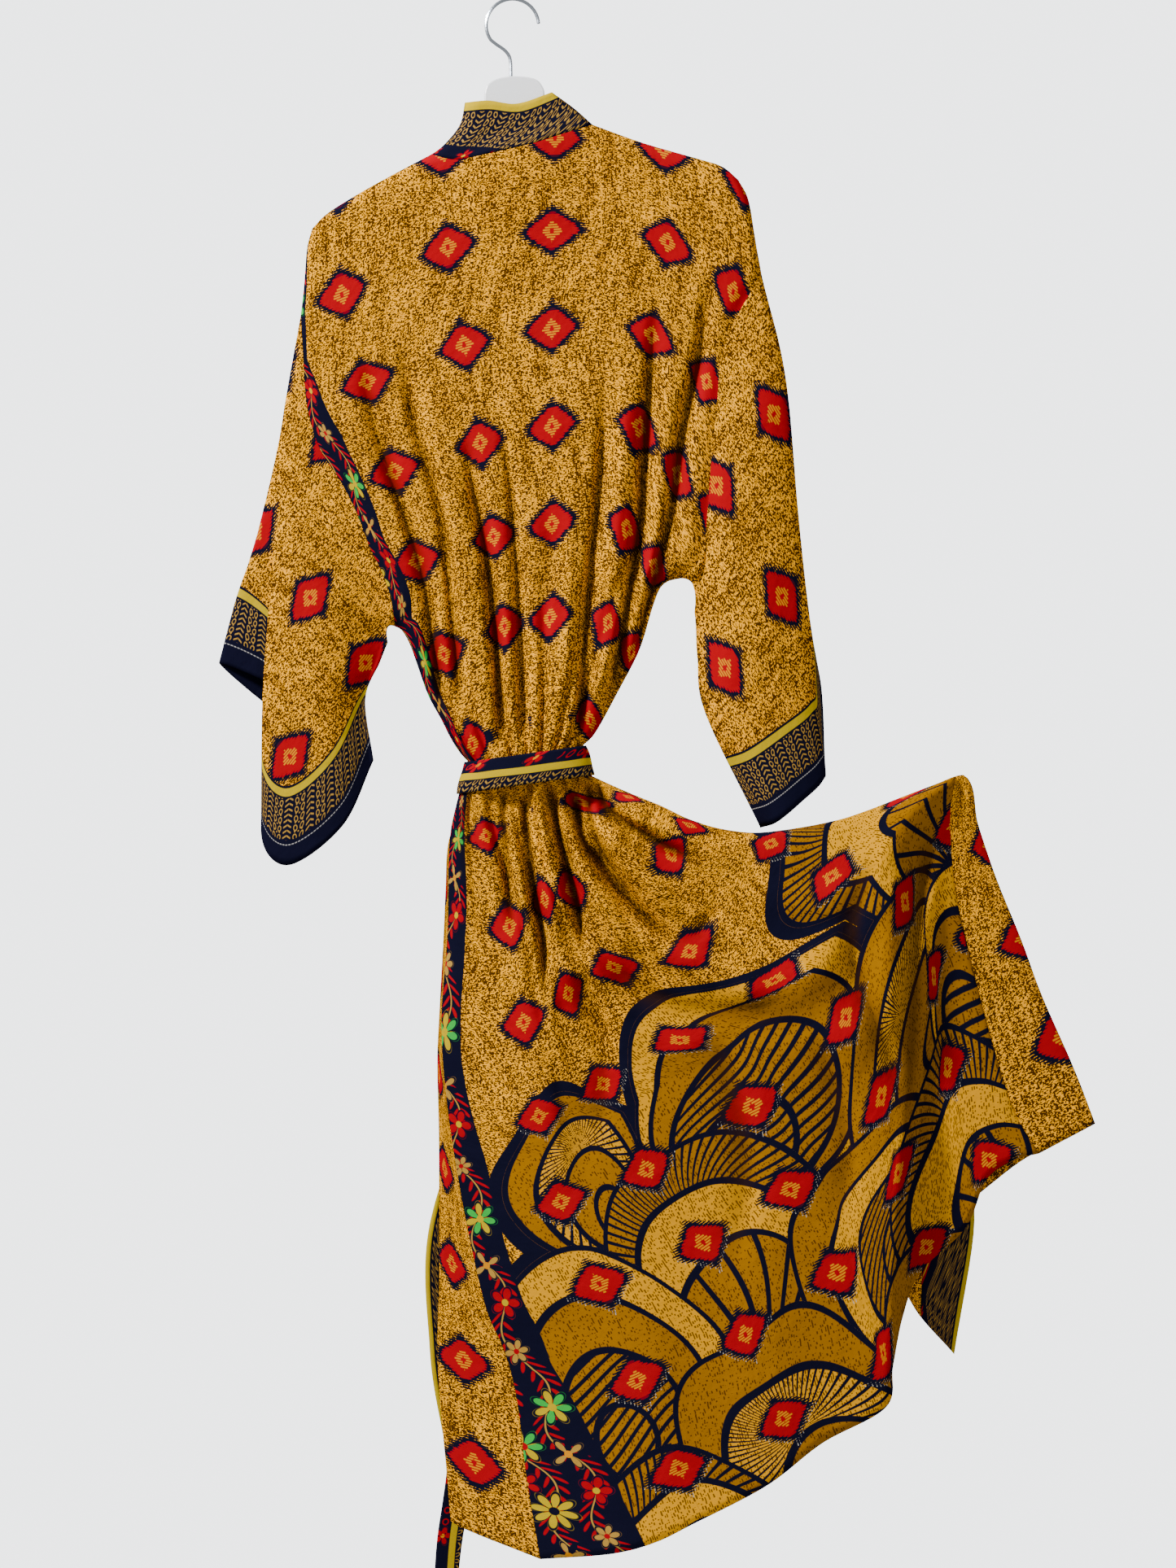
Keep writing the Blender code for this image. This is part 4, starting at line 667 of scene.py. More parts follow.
@dataclass(frozen=True)
class Waist:
    """The gathered waist under the sash: a rounded oval, wider above, on a slope."""

    x: float = 14.2
    z: float = -754.5
    tilt: float = 0.139
    half_width: float = 61.0
    half_depth: float = 25.0
    flare: float = 0.27
    depth_flare: float = 0.10
    roundness: float = 2.4
    rows: tuple = (16.0, 8.0, 0.0, -8.0, -16.0)

    def row(self, height: float, share: Array | float, clear: Array | float = 0.0) -> Array:
        """Points round the waist's far side: a superellipse, where |x|^n + |y|^n is the same all round.

        Args:
            height: Millimetres above the waist's middle.
            share: Shares across, from the wearer's left to the right.
            clear: How far outside the gathered cloth they are.

        Returns:
            The points, as x, depth and z.
        """
        across, power = 2.0 * np.asarray(share) - 1.0, self.roundness
        x = across * (self.half_width - self.flare * height + clear)
        bulge = np.clip(1.0 - np.abs(across) ** power, 0.0, 1.0) ** (1.0 / power)
        depth = bulge * (self.half_depth - self.depth_flare * height + clear)
        return np.stack([self.x + x, depth, self.z + height + self.tilt * x], -1)

    def end(self, height: float, share: float) -> tuple:
        """The (x, z) of the waist's side at a height above its middle."""
        return tuple(self.row(height, share)[[0, 2]])

    def loop(self, height: float, turns: Array, clear: Array) -> Array:
        """A closed line round the waist, by its angles and how far outside the gathered cloth it runs."""
        across = np.sign(np.cos(turns)) * np.abs(np.cos(turns)) ** (2.0 / self.roundness)
        points = self.row(height, (across + 1.0) / 2, clear)
        points[:, 1] *= np.sign(np.sin(turns))
        return points


@dataclass(frozen=True)
class Body:
    """What the back, the fronts and the sleeves share: the outline and the depth of the hanging cloth."""

    waist: Waist = Waist()
    drop_share: float = 0.146
    armhole_share: float = 0.708
    shoulder_depth: float = 9.0
    side_rounding: float = 28.0
    neck_fullness: float = 7.0
    neck_middle: Pair = (1.0, -140.0)
    neck_spread: Pair = (60.0, 90.0)
    waist_begins: float = 600.0
    waist_blend: float = 125.0
    held_share: float = 0.07

    @cached_property
    def rows(self) -> Array:
        """The upper body's rows, as shares of the way from the shoulder to the sash."""
        drop, armhole, side = np.array(DROP_ROWS), np.array(ARMHOLE_ROWS[1:]), np.array(SIDE_ROWS[1:])
        middle, rest = self.armhole_share - self.drop_share, 1.0 - self.armhole_share
        return np.concatenate([self.drop_share * drop, self.drop_share + middle * armhole,
                               self.armhole_share + rest * side])

    @cached_property
    def columns(self) -> Array:
        """The back's columns, as shares of its width."""
        return np.array(LEFT_COLUMNS + NECK_COLUMNS[1:] + RIGHT_COLUMNS[1:])

    @cached_property
    def edges(self) -> dict[Side, Array]:
        """Outer edges of the upper body: down the drop, round the armhole and down the side to the sash."""
        found = {}
        for side, line in OUTLINES.items():
            seam = line.side + (self.waist.end(self.waist.rows[0], line.waist_share),)
            found[side] = np.vstack([along(line.drop, DROP_ROWS), along(line.armhole, ARMHOLE_ROWS)[1:],
                                     along(seam, SIDE_ROWS)[1:]])
        return found

    def waist_share(self, across: Array) -> Array:
        """Share of the waist at which each grain line passes."""
        table = np.array(GRAINS)
        return np.interp(across, table[:, 0], table[:, 2])

    def shoulder_point(self, across: Array) -> Array:
        """Point of the top edge on each grain line: shoulder, neckline, shoulder.

        Args:
            across: Shares of the back's width.

        Returns:
            The points, as (x, z).
        """
        table = np.array(GRAINS)
        parts = [smooth_points(SHOULDER_LEFT), smooth_points(NECKLINE)[1:], smooth_points(SHOULDER_RIGHT)[1:]]
        line = np.vstack(parts)
        run = run_of(line)
        first = len(parts[0]) - 1
        second = first + len(parts[1])
        marks = np.interp(across, table[:, 0], table[:, 1])
        corners = (0.0, table[2, 1], table[5, 1], 1.0)
        where = np.interp(marks, corners, (0.0, run[first], run[second], run[-1]))
        return np.stack([np.interp(where, run, line[:, 0]), np.interp(where, run, line[:, 1])], -1)

    def upper_depth(self, x: Array, z: Array, down: Array, depths: tuple) -> Array:
        """Depth of the upper cloth: round over the hanger, round at the sides, fuller near the sash.

        Args:
            x, z: The places.
            down: Shares of the way to the sash.
            depths: Full depth by that share.

        Returns:
            The depth from the hanger's plane.
        """
        outer = np.minimum(*(distance_to(line.outer, x, z) for line in OUTLINES.values()))
        side = np.minimum(*(distance_to(line.side, x, z) for line in OUTLINES.values()))
        offsets = zip((x, z), self.neck_middle, self.neck_spread)
        near_neck = np.exp(-sum(((place - middle) / spread) ** 2 for place, middle, spread in offsets))
        full = reading(depths, down) + self.neck_fullness * near_neck
        above = full * rounded(outer / self.shoulder_depth) * rounded(side / self.side_rounding)
        left, right = (np.interp(-z, -edge[UNDERARM:, 1], edge[UNDERARM:, 0]) for edge in self.edges.values())
        across = np.clip(2 * (x - left) / (right - left) - 1, -1, 1)
        waist = full * (1 - np.abs(across) ** self.waist.roundness) ** (1 / self.waist.roundness)
        near_waist = ease((-z - self.waist_begins) / self.waist_blend)
        return mixed(above, waist, near_waist)

    def held(self, down: Array) -> Array:
        """1 at the sash and 0 from a little above it, where the rows take the waist's own shape."""
        return ease((down - 1 + self.held_share) / self.held_share)

    def at_rest(self, depth: Array, top: Array | slice, sides: tuple) -> Array:
        """The depth with its outer seams brought onto the hanger's plane, except along the armhole.

        Args:
            depth: Depths, rows by columns; changed in place.
            top: Which columns lie on the plane in the top row.
            sides: The columns that are side seams.

        Returns:
            The depth.
        """
        np.maximum(depth, 0.0, out=depth)
        depth[0, top] = 0.0
        for column in sides:
            depth[:len(DROP_ROWS), column] = 0.0
            depth[UNDERARM:-1, column] = 0.0
        return depth

    def skirt_edge(self, side: Side) -> Array:
        """One side seam of the skirt, row by row, as (x, z)."""
        waist = self.waist.end(self.waist.rows[-1], OUTLINES[side].waist_share)
        if side is Side.LEFT:
            return along((waist,) + SKIRT_LEFT, SKIRT_ROWS)
        rows = np.array(SKIRT_ROWS)
        swag = along((waist,) + SWAG, np.clip(rows * 2, 0, 1))
        drop = along(DROP_BELOW_CORNER, np.clip(rows * 2 - 1, 0, 1))
        return np.where(rows[:, None] < 0.5, swag, drop)


def pleat_depth(pleats: tuple, across: Array, down: Array) -> Array:
    """How far the gathers press in: a bell across each one, fading to the end of its reach.

    Args:
        pleats: The gathers.
        across: Shares across.
        down: Shares of the way from the sash.

    Returns:
        The depth, rows by columns.
    """
    total = np.zeros(np.broadcast(across, down).shape)
    for pleat in pleats:
        run = np.clip(down / pleat.reach, 0.0, 1.0)
        middle = pleat.waist + (pleat.end - pleat.waist) * run
        width = pleat.width + (pleat.end_width - pleat.width) * run
        total += pleat.depth * (1.0 - ease(run)) * np.exp(-((across - middle) / width) ** 2)
    return total


def pressed_in(x: Array, z: Array) -> tuple[Array, Array]:
    """The listed creases: each presses in as a V, long on its left wall and short on its right one.

    Args:
        x, z: The places.

    Returns:
        How deep the cloth is pressed in, and the painted shade in the creases' valleys, from 0 to 1.
    """
    depth, painted_shade = np.zeros(x.shape), np.zeros(x.shape)
    for crease in CREASES:
        reach, side, share = from_line(crease.line, x, z, 8)
        fade = ease(np.clip(share / CREASE_STARTS, 0, 1) * np.clip((1 - share) / CREASE_ENDS, 0, 1))
        width = crease.wide * (np.where(side > 0, *CREASE_WALLS) if crease.deep > 0 else 1.0)
        depth += crease.deep * fade * np.exp(-(reach / width) ** CREASE_SHARPNESS)
        # Painted shade: a crease that presses in gets its valley darkened, standing in for the shade there
        if crease.deep > 0:
            shadow = min(crease.deep / PAINTED_SHADE_FULL_DEPTH, 1.0) * fade * np.exp(-(reach / width / PAINTED_SHADE_WIDTH) ** 2)
            painted_shade = np.maximum(painted_shade, shadow)
    return depth, painted_shade


# Inks of the print, and the colour of the painted shade in the creases
OCHRE = (0.88, 0.375, 0.0)
OCHRE_SHADE = (0.60, 0.245, 0.0)
PALE_OCHRE = (0.58, 0.26, 0.0)
MUSTARD = (0.26, 0.105, 0.0)
FLECK = (0.050, 0.018, 0.002)
NAVY = (0.0045, 0.0045, 0.014)
RED = (0.30, 0.0, 0.006)
ORANGE = (0.52, 0.19, 0.0)
YELLOW = (0.42, 0.29, 0.0)
TAN = (0.34, 0.19, 0.03)
GREEN = (0.02, 0.33, 0.04)
CHALK = (0.36, 0.34, 0.28)
SEWING = (0.30, 0.29, 0.28)
# Painted shade for the creases' valleys, not an ink of the print
PAINTED_CREASE_SHADE = (0.030, 0.010, 0.0)


def fill(node: bpy.types.Node, inputs: dict) -> bpy.types.Node:
    """Joins or sets a node's inputs.

    Args:
        node: The node.
        inputs: What each input reads, by its name or number: a number, an ink, an output or a shade.

    Returns:
        The node.
    """
    for slot, value in inputs.items():
        value = getattr(value, "socket", value)
        if isinstance(value, Socket):
            node.id_data.links.new(value, node.inputs[slot])
        else:
            node.inputs[slot].default_value = value
    return node


def new_node(tree: bpy.types.NodeTree, kind: str, inputs: dict, **settings: str | bool) -> bpy.types.Node:
    """A new shader node.

    Args:
        tree: Where it goes.
        kind: Its type, without the words that all types begin with.
        inputs: What each input reads, as for fill.
        settings: Its own settings by name.

    Returns:
        The node.
    """
    node = tree.nodes.new("ShaderNode" + kind)
    for name, value in settings.items():
        setattr(node, name, value)
    return fill(node, inputs)


class Shade:
    """A number that varies over the cloth, made of Math nodes."""

    def __init__(self, socket: Socket) -> None:
        """Keeps the output that carries the number."""
        self.socket = socket

    def math(self, operation: str, *others: Shade | float, clamp: bool = False) -> Shade:
        """The result of one Math node.

        Args:
            operation: What the node does.
            others: Its further inputs.
            clamp: Whether the result stays from 0 to 1.

        Returns:
            The new number.
        """
        inputs = dict(enumerate((self, *others)))
        node = new_node(self.socket.id_data, "Math", inputs, operation=operation, use_clamp=clamp)
        return Shade(node.outputs[0])

    def __add__(self, other: Shade | float) -> Shade:
        """The sum."""
        return self.math("ADD", other)

    def __sub__(self, other: Shade | float) -> Shade:
        """The difference."""
        return self.math("SUBTRACT", other)

    def __mul__(self, other: Shade | float) -> Shade:
        """The product."""
        return self.math("MULTIPLY", other)

    def __truediv__(self, other: Shade | float) -> Shade:
        """The quotient."""
        return self.math("DIVIDE", other)

    __radd__, __rmul__ = __add__, __mul__

    def __neg__(self) -> Shade:
        """The opposite."""
        return self * -1.0

    def __rsub__(self, other: float) -> Shade:
        """The difference from a plain number."""
        return -self + other

    def __abs__(self) -> Shade:
        """The size without its sign."""
        return self.math("ABSOLUTE")

    def least(self, other: Shade | float) -> Shade:
        """The smaller one of two."""
        return self.math("MINIMUM", other)

    def most(self, other: Shade | float) -> Shade:
        """The larger one of two."""
        return self.math("MAXIMUM", other)

    def wave(self) -> Shade:
        """The sine."""
        return self.math("SINE")

    def angle(self, other: Shade) -> Shade:
        """The angle whose tangent is this number over the other one."""
        return self.math("ARCTAN2", other)

    def floor(self) -> Shade:
        """The whole number below."""
        return self.math("FLOOR")

    def fract(self) -> Shade:
        """What is left above the whole number."""
        return self.math("FRACT")

    def about(self, pitch: float, phase: float = 0.0) -> Shade:
        """The distance from the nearest repeat, with its sign.

        Args:
            pitch: Distance from one repeat to the next.
            phase: Where the first one is.

        Returns:
            From minus to plus half the pitch.
        """
        return ((self - phase) / pitch + 0.5).fract() * pitch - pitch / 2

    def below(self, limit: Shade | float, soft: float = 0.5) -> Shade:
        """1 where the number is below the limit and 0 above, with a step `soft` wide."""
        return ((limit - self) / soft + 0.5).math("ADD", 0.0, clamp=True)

    def above(self, limit: Shade | float, soft: float = 0.5) -> Shade:
        """1 where the number is above the limit and 0 below, with a step `soft` wide."""
        return ((self - limit) / soft + 0.5).math("ADD", 0.0, clamp=True)


def far(across: Shade, along_it: Shade) -> Shade:
    """The distance from the origin of two lengths."""
    return (across * across + along_it * along_it).math("SQRT")


class Dye:
    """The tree of one cloth's material, with the helpers that lay one ink over another."""

    def __init__(self, name: str) -> None:
        """Starts a material that reads the cloth's flat map in millimetres."""
        self.material = bpy.data.materials.new(name)
        self.material.use_nodes = True
        flat = self.node("UVMap", {}, uv_map="flat")
        self.u, self.v = (part * (1.0 / MM) for part in self.parts(flat.outputs[0])[:2])
        self.weave = self.u

    def node(self, kind: str, inputs: dict, **settings: str | bool) -> bpy.types.Node:
        """A new node of this material."""
        return new_node(self.material.node_tree, kind, inputs, **settings)

    def reading(self, name: str) -> Shade:
        """A field that the mesh carries."""
        return Shade(self.node("Attribute", {}, attribute_name=name).outputs["Fac"])

    def point(self, across: Shade, down: Shade) -> Socket:
        """Two numbers as the place that a texture reads."""
        return self.node("CombineXYZ", {0: across, 1: down}).outputs[0]

    def cloud(self, across: Shade, down: Shade, detail: float = 2.0) -> Shade:
        """Smooth noise from 0 to 1.

        Args:
            across, down: The place, in units of the noise.
            detail: How many finer layers it has.

        Returns:
            The noise.
        """
        inputs = {"Vector": self.point(across, down), "Scale": 1.0, "Detail": detail}
        return Shade(self.node("TexNoise", inputs, noise_dimensions="2D").outputs["Fac"])

    def chance(self, across: Shade, down: Shade) -> Shade:
        """A different number from 0 to 1 for each whole place."""
        place = self.point(across.floor(), down.floor())
        return Shade(self.node("TexWhiteNoise", {"Vector": place}, noise_dimensions="2D").outputs["Value"])

    def reach(self, place: Socket, middle: Point) -> Shade:
        """How far a place is from a fixed one."""
        return Shade(self.node("VectorMath", {0: place, 1: middle}, operation="DISTANCE").outputs["Value"])

    def either(self, base: Point | Socket, top: Point, mask: Shade) -> Socket:
        """Three numbers at once: the second ones where the mask is 1, else the first ones."""
        return self.node("Mix", {0: mask, 4: base, 5: top}, data_type="VECTOR").outputs[1]

    def parts(self, three: Socket) -> list[Shade]:
        """Three numbers, one by one."""
        return [Shade(output) for output in self.node("SeparateXYZ", {0: three}).outputs]

    def over(self, base: Ink | Socket, *layers: tuple[Ink | Socket, Shade]) -> Socket:
        """Inks printed one over another.

        Args:
            base: The colour beneath.
            layers: Each colour that goes over it, with its mask from 0 to 1.

        Returns:
            The colour with all of them.
        """
        for top, mask in layers:
            inks = ((*ink, 1.0) if isinstance(ink, tuple) else ink for ink in (base, top))
            base = self.node("Mix", dict(zip((0, 6, 7), (mask, *inks))), data_type="RGBA").outputs[2]
        return base

    def finish(self, colour: Socket, finish: ClothFinish) -> bpy.types.Material:
        """Joins the colour and the weave to the shader.

        Args:
            colour: The print.
            finish: Roughness and relief of the cloth.

        Returns:
            The material.
        """
        warp, weft = ((way * (2 * np.pi / finish.thread)).wave() for way in (self.weave, self.v))
        crumple = self.cloud(self.weave / finish.crumple, self.v / finish.crumple, 3.0)
        height = warp * weft * finish.thread_depth + crumple * finish.crumple_depth
        bump = self.node("Bump", {"Strength": 1.0, "Distance": MM, "Height": height})
        fill(self.material.node_tree.nodes["Principled BSDF"], {
            "Base Color": colour, "Normal": bump.outputs[0],
            "Roughness": (crumple - 0.5) * finish.patchiness + finish.roughness,
            "Specular IOR Level": finish.specular})
        return self.material


@dataclass(frozen=True)
class ClothFinish:
    """The cloth itself: a light plain-woven viscose."""

    roughness: float = 0.74
    patchiness: float = 0.12
    specular: float = 0.0
    thread: float = 0.9
    thread_depth: float = 0.025
    crumple: float = 34.0
    crumple_depth: float = 2.2


@dataclass(frozen=True)
class FleckedGround:
    """Ochre cloth with dark flecks that run along its threads."""

    column: float = 2.4
    dash: float = 2.3
    widths: Pair = (0.31, 0.25)
    bend: float = 2.4
    bend_size: float = 9.0
    cloud_size: float = 15.0
    patchiness: float = 0.8

    def columns(self, dye: Dye, shift: float, share: float, dash: float, limit: Shade) -> Shade:
        """Dashes in upright columns, each column with its own rhythm.

        Args:
            dye: The tree.
            shift: How far the columns are shifted in millimetres.
            share: Half width of a dash as a share of its column.
            dash: Length of a dash in millimetres.
            limit: Where the noise makes a dash.

        Returns:
            The mask of the dashes.
        """
        bend = dye.cloud(dye.weave / self.bend_size, dye.v / self.bend_size) * self.bend
        bent = (dye.weave + bend + shift) / self.column
        rhythm = dye.cloud(bent.floor() * 7.31 + shift, dye.v / dash, 1.0)
        return rhythm.above(limit, 0.02) * abs(bent.fract() - 0.5).below(share, 0.08)

    def colour(self, dye: Dye) -> Socket:
        """The ground's colour: cloudy ochre, faint darker threads and the flecks."""
        u, v = dye.weave, dye.v
        cloudy = dye.cloud(u / self.cloud_size, v / (self.cloud_size * 4.0), 3.0)
        slub, pick = dye.cloud(u / 2.4, v / 30.0, 1.0), dye.cloud(u / 26.0, v / 2.2, 1.0)
        patches = (cloudy + slub * 0.5).above(0.82, 0.3) * self.patchiness
        density = 0.725 - cloudy * 0.13 - slub * 0.13 - pick * 0.11
        marks = self.columns(dye, 0.0, self.widths[0], self.dash, density - 0.035)
        marks = marks.most(self.columns(dye, self.column / 2, self.widths[1], self.dash / 2, density - 0.015))
        across = dye.cloud(u / 2.6, v / 0.9, 0.0).above(density + 0.09, 0.02)
        return dye.over(OCHRE, (OCHRE_SHADE, patches), (FLECK, marks.most(across)))


@dataclass(frozen=True)
class Diamonds:
    """Red diamonds with a comb-like navy edge, on a plain lattice."""

    half_width: float = 32.0
    half_height: float = 27.0
    field_width: float = 24.0
    field_height: float = 20.0
    rim_taper: float = 0.62
    field_taper: float = 0.55
    eye: float = 9.0
    core: Pair = (2.9, 3.6)
    tick: float = 2.9
    thread: float = 2.4
    comb: float = 4.6
    ragged: float = 4.0
    spread: float = 0.6
    tucked_away: tuple = ((-112, 470), (0, 470), (-112, 564), (0, 564))

    def half(self, y: Shade, height: float, width: float, taper: float) -> Shade:
        """Half a diamond's width at a height: a parabola times a straight taper."""
        return (1.0 - y * y / height ** 2).most(-0.06) * (width - y * taper)

    def over(self, dye: Dye, base: Socket, across: Shade, down: Shade, phase: Pair,
             chalk: Shade | None = None, tuck: Shade | None = None) -> Socket:
        """Prints the diamonds: each thread's red and navy stretch ends at its own place, like a comb.

        Args:
            dye, base: The tree and the colour beneath.
            across, down: The flat place in millimetres.
            phase: Where one diamond's centre is.
            chalk: Where pale ticks show below each diamond.
            tuck: How many times the cloth is gathered across, which shows the diamonds narrow.

        Returns:
            The colour with the diamonds.
        """
        thread = (down / self.thread).floor()
        y = abs(((thread + 0.5) * self.thread).about(PITCH_DOWN, phase[1]))
        x = abs(across.about(PITCH_ACROSS, phase[0]))
        if tuck is not None:
            x = x / tuck.math("POWER", self.spread)
            for place_across, place_down in self.tucked_away:
                x = x + 99.0 * abs(across - place_across).below(50.0) * abs(down - place_down).below(40.0)
        own = dye.chance(thread, (across / PITCH_ACROSS).floor())
        gap = abs((down / self.thread).fract() - 0.5).above(0.30, 0.12) * self.comb
        rim = self.half(y, self.half_height, self.half_width, self.rim_taper) + own * self.ragged - gap
        rim = rim * y.below(self.half_height + 1.5, 1.0)
        field = self.half(y, self.field_height, self.field_width, self.field_taper)
        field = field + own * (self.ragged * 0.6) - gap * 0.35
        if chalk is not None:
            low = down.about(PITCH_DOWN, phase[1]).above(1.0, 1.0)
            ticks = x.below(rim + 1.8, 0.4) * (across / self.tick + down * 0.08).fract().below(0.30, 0.15)
            base = dye.over(base, (CHALK, ticks * low * chalk * y.below(self.half_height + 4.0, 1.0)))
        eye = (x + y) / self.eye - own * 0.22
        core = x / self.core[0] + y / self.core[1]
        return dye.over(
            base, (NAVY, x.below(rim, 0.6)),
            (RED, x.below(field, 0.6) * y.below(self.field_height - 2.0, 1.0)),
            (ORANGE, eye.below(1.0, 0.08) * (gap / self.comb).below(0.6, 0.2)),
            (RED, core.below(1.0, 0.2)))


@dataclass(frozen=True)
class Paisley:
    """Tan chevrons and paired loops on navy."""

    pitch: float = 22.5
    chevron_pitch: float = 5.2
    chevron_slope: float = 0.75
    chevron_half: float = 3.9
    loop_pitch: float = 8.6
    loop_apart: float = 3.1
    loop_size: Pair = (1.9, 3.1)

    def over(self, dye: Dye, base: Socket, along_it: Shade, across: Shade, mask: Shade) -> Socket:
        """Prints the paisley.

        Args:
            dye, base: The tree and the colour beneath.
            along_it: Millimetres along the band.
            across: Millimetres across it.
            mask: Where the band lies.

        Returns:
            The colour with the paisley.
        """
        skewed = along_it + across * 0.10
        x = skewed.about(self.pitch)
        chevron_y = (across + abs(x) * self.chevron_slope).about(self.chevron_pitch)
        chevron = abs(chevron_y).below(0.85) * abs(x).below(self.chevron_half) * abs(x).above(0.25, 0.3)
        beside = skewed.about(self.pitch, self.pitch * 0.5)
        row = across.about(self.loop_pitch, 2.0)
        loop_x = abs(beside) - self.loop_apart - row * 0.18
        loop = far(loop_x / self.loop_size[0], row / self.loop_size[1])
        ring = abs(loop - 0.86).below(0.20, 0.16)
        tail = abs(loop_x - 1.0).below(0.6, 0.4) * abs(row + 3.0).below(1.2)
        dot = far(beside, across.about(self.loop_pitch, 2.0 + self.loop_pitch / 2)).below(0.75)
        return dye.over(base, (TAN, chevron.most(ring).most(tail).most(dot) * mask * 0.92))


class Bloom(NamedTuple):
    """One flower of the border: its place, its petals, their inks by turns and its heart's ink."""

    across: float
    along: float
    count: int
    turn: float
    length: float
    ink: Ink
    second: Ink
    heart: Ink


@dataclass(frozen=True)
class FloweredBorder:
    """The navy border's flowers: lotuses, star flowers and red blooms, on a hooked red vine."""

    pitch: float = 188.0
    blooms: tuple = (
        Bloom(20, 0, 7, 0.35, 19.0, GREEN, YELLOW, YELLOW),
        Bloom(26, 46, 8, 0.0, 17.0, TAN, NAVY, ORANGE),
        Bloom(18, 84, 5, 0.2, 16.0, RED, RED, YELLOW),
        Bloom(28, 130, 6, 0.5, 13.0, TAN, TAN, RED),
        Bloom(62, 98, 8, 0.1, 23.0, YELLOW, YELLOW, NAVY),
        Bloom(68, 146, 8, 0.4, 16.0, TAN, NAVY, ORANGE),
        Bloom(60, 30, 7, 0.3, 19.0, GREEN, YELLOW, RED),
        Bloom(74, 66, 5, 0.6, 14.0, RED, RED, TAN),
    )
    vines: tuple = ((24.0, 0.0), (60.0, 94.0))
    vine_swing: float = 11.0
    leaf_pitch: float = 10.0
    petal_bulge: float = 0.62
    heart: float = 0.2

    def petals(self, x: Shade, y: Shade, bloom: Bloom) -> tuple[Shade, Shade, Shade]:
        """A ring of petals, each one a parabola across its own turn.

        Args:
            x, y: The place from the flower's centre.
            bloom: The flower.

        Returns:
            The mask of the petals, which petal it is, and the mask of its outline.
        """
        angle = y.angle(x) * (bloom.count / (2 * np.pi)) + (bloom.count + bloom.turn)
        across = abs(angle.fract() - 0.5) * 2
        reach = far(x, y) / bloom.length
        edge = reach + across * across * self.petal_bulge
        petal = edge.below(1.0, 0.06) * across.below(0.90, 0.08)
        line = abs(edge - 0.93).below(0.07, 0.05).most(across.above(0.80, 0.1))
        return petal, angle.floor(), line

    def flower(self, dye: Dye, base: Socket, x: Shade, y: Shade, bloom: Bloom, mask: Shade) -> Socket:
        """Prints one flower: outlined petals with their inks by turns, then its heart.

        Args:
            dye, base: The tree and the colour beneath.
            x, y: The place from the flower's centre.
            bloom: The flower.
            mask: Where it may lie.

        Returns:
            The colour with the flower.
        """
        petal, which, line = self.petals(x, y, bloom)
        petals = dye.over(bloom.ink, (bloom.second, which.math("MODULO", 2.0).above(0.5, 0.1)), (NAVY, line))
        heart = far(x, y).below(bloom.length * self.heart)
        return dye.over(base, (petals, petal * mask), (bloom.heart, heart * mask))

    def over(self, dye: Dye, base: Socket, inward: Shade, down: Shade, mask: Shade) -> Socket:
        """Prints the vine, its hooks and the flowers.

        Args:
            dye, base: The tree and the colour beneath.
            inward: Millimetres from the border's inner edge.
            down: Millimetres along the border.
            mask: Where the border lies.

        Returns:
            The colour with the flowers.
        """
        colour = base
        for middle, shift in self.vines:
            bend = inward - middle - ((down + shift) * (4 * np.pi / self.pitch)).wave() * self.vine_swing
            leaf_y = (down - abs(bend) * 0.9).about(self.leaf_pitch)
            leaf = far(abs(bend) * 0.42 - 2.6, leaf_y)
            leaves = leaf.below(2.1, 0.4) * (abs(bend) - 1.6).above(0.0)
            colour = dye.over(colour, (TAN, abs(bend).below(0.8, 0.4) * mask), (RED, leaves * mask))
        for bloom in self.blooms:
            s = down.about(self.pitch, bloom.along)
            colour = self.flower(dye, colour, inward - bloom.across, s, bloom, mask)
        return colour


class Filling(Enum):
    """What fills a shell of the large print."""

    RINGS = 0.0
    RIBS = 1.0
    HATCH = 2.0


class Shell(NamedTuple):
    """One round shell of the large print: its rings lean from its middle towards `turn` radians."""

    u: float
    v: float
    radius: float
    turn: float
    tone: float
    filling: Filling


# Round shells of the skirt's lower print, each one over those before it
SHELLS = (
    Shell(300, 866, 128, 1.40, 0.0, Filling.RIBS),
    Shell(30, 915, 122, 2.10, 1.0, Filling.HATCH),
    Shell(-190, 930, 100, 1.05, 0.0, Filling.RINGS),
    Shell(186, 1022, 114, 1.05, 0.0, Filling.RINGS),
    Shell(-86, 1060, 120, 1.75, 0.0, Filling.RIBS),
    Shell(318, 1086, 112, 2.27, 1.0, Filling.HATCH),
    Shell(66, 1142, 116, 0.90, 0.0, Filling.HATCH),
    Shell(-236, 1118, 112, 2.10, 1.0, Filling.HATCH),
    Shell(214, 1206, 114, 1.75, 0.0, Filling.RIBS),
    Shell(-112, 1244, 122, 1.22, 0.0, Filling.RINGS),
    Shell(64, 1318, 112, 2.00, 0.0, Filling.RINGS),
    Shell(-268, 1300, 104, 0.95, 0.0, Filling.RIBS),
    Shell(320, 1312, 108, 1.80, 0.0, Filling.RINGS),
)
SHELL_RINGS = (0.78, 0.54, 0.28)


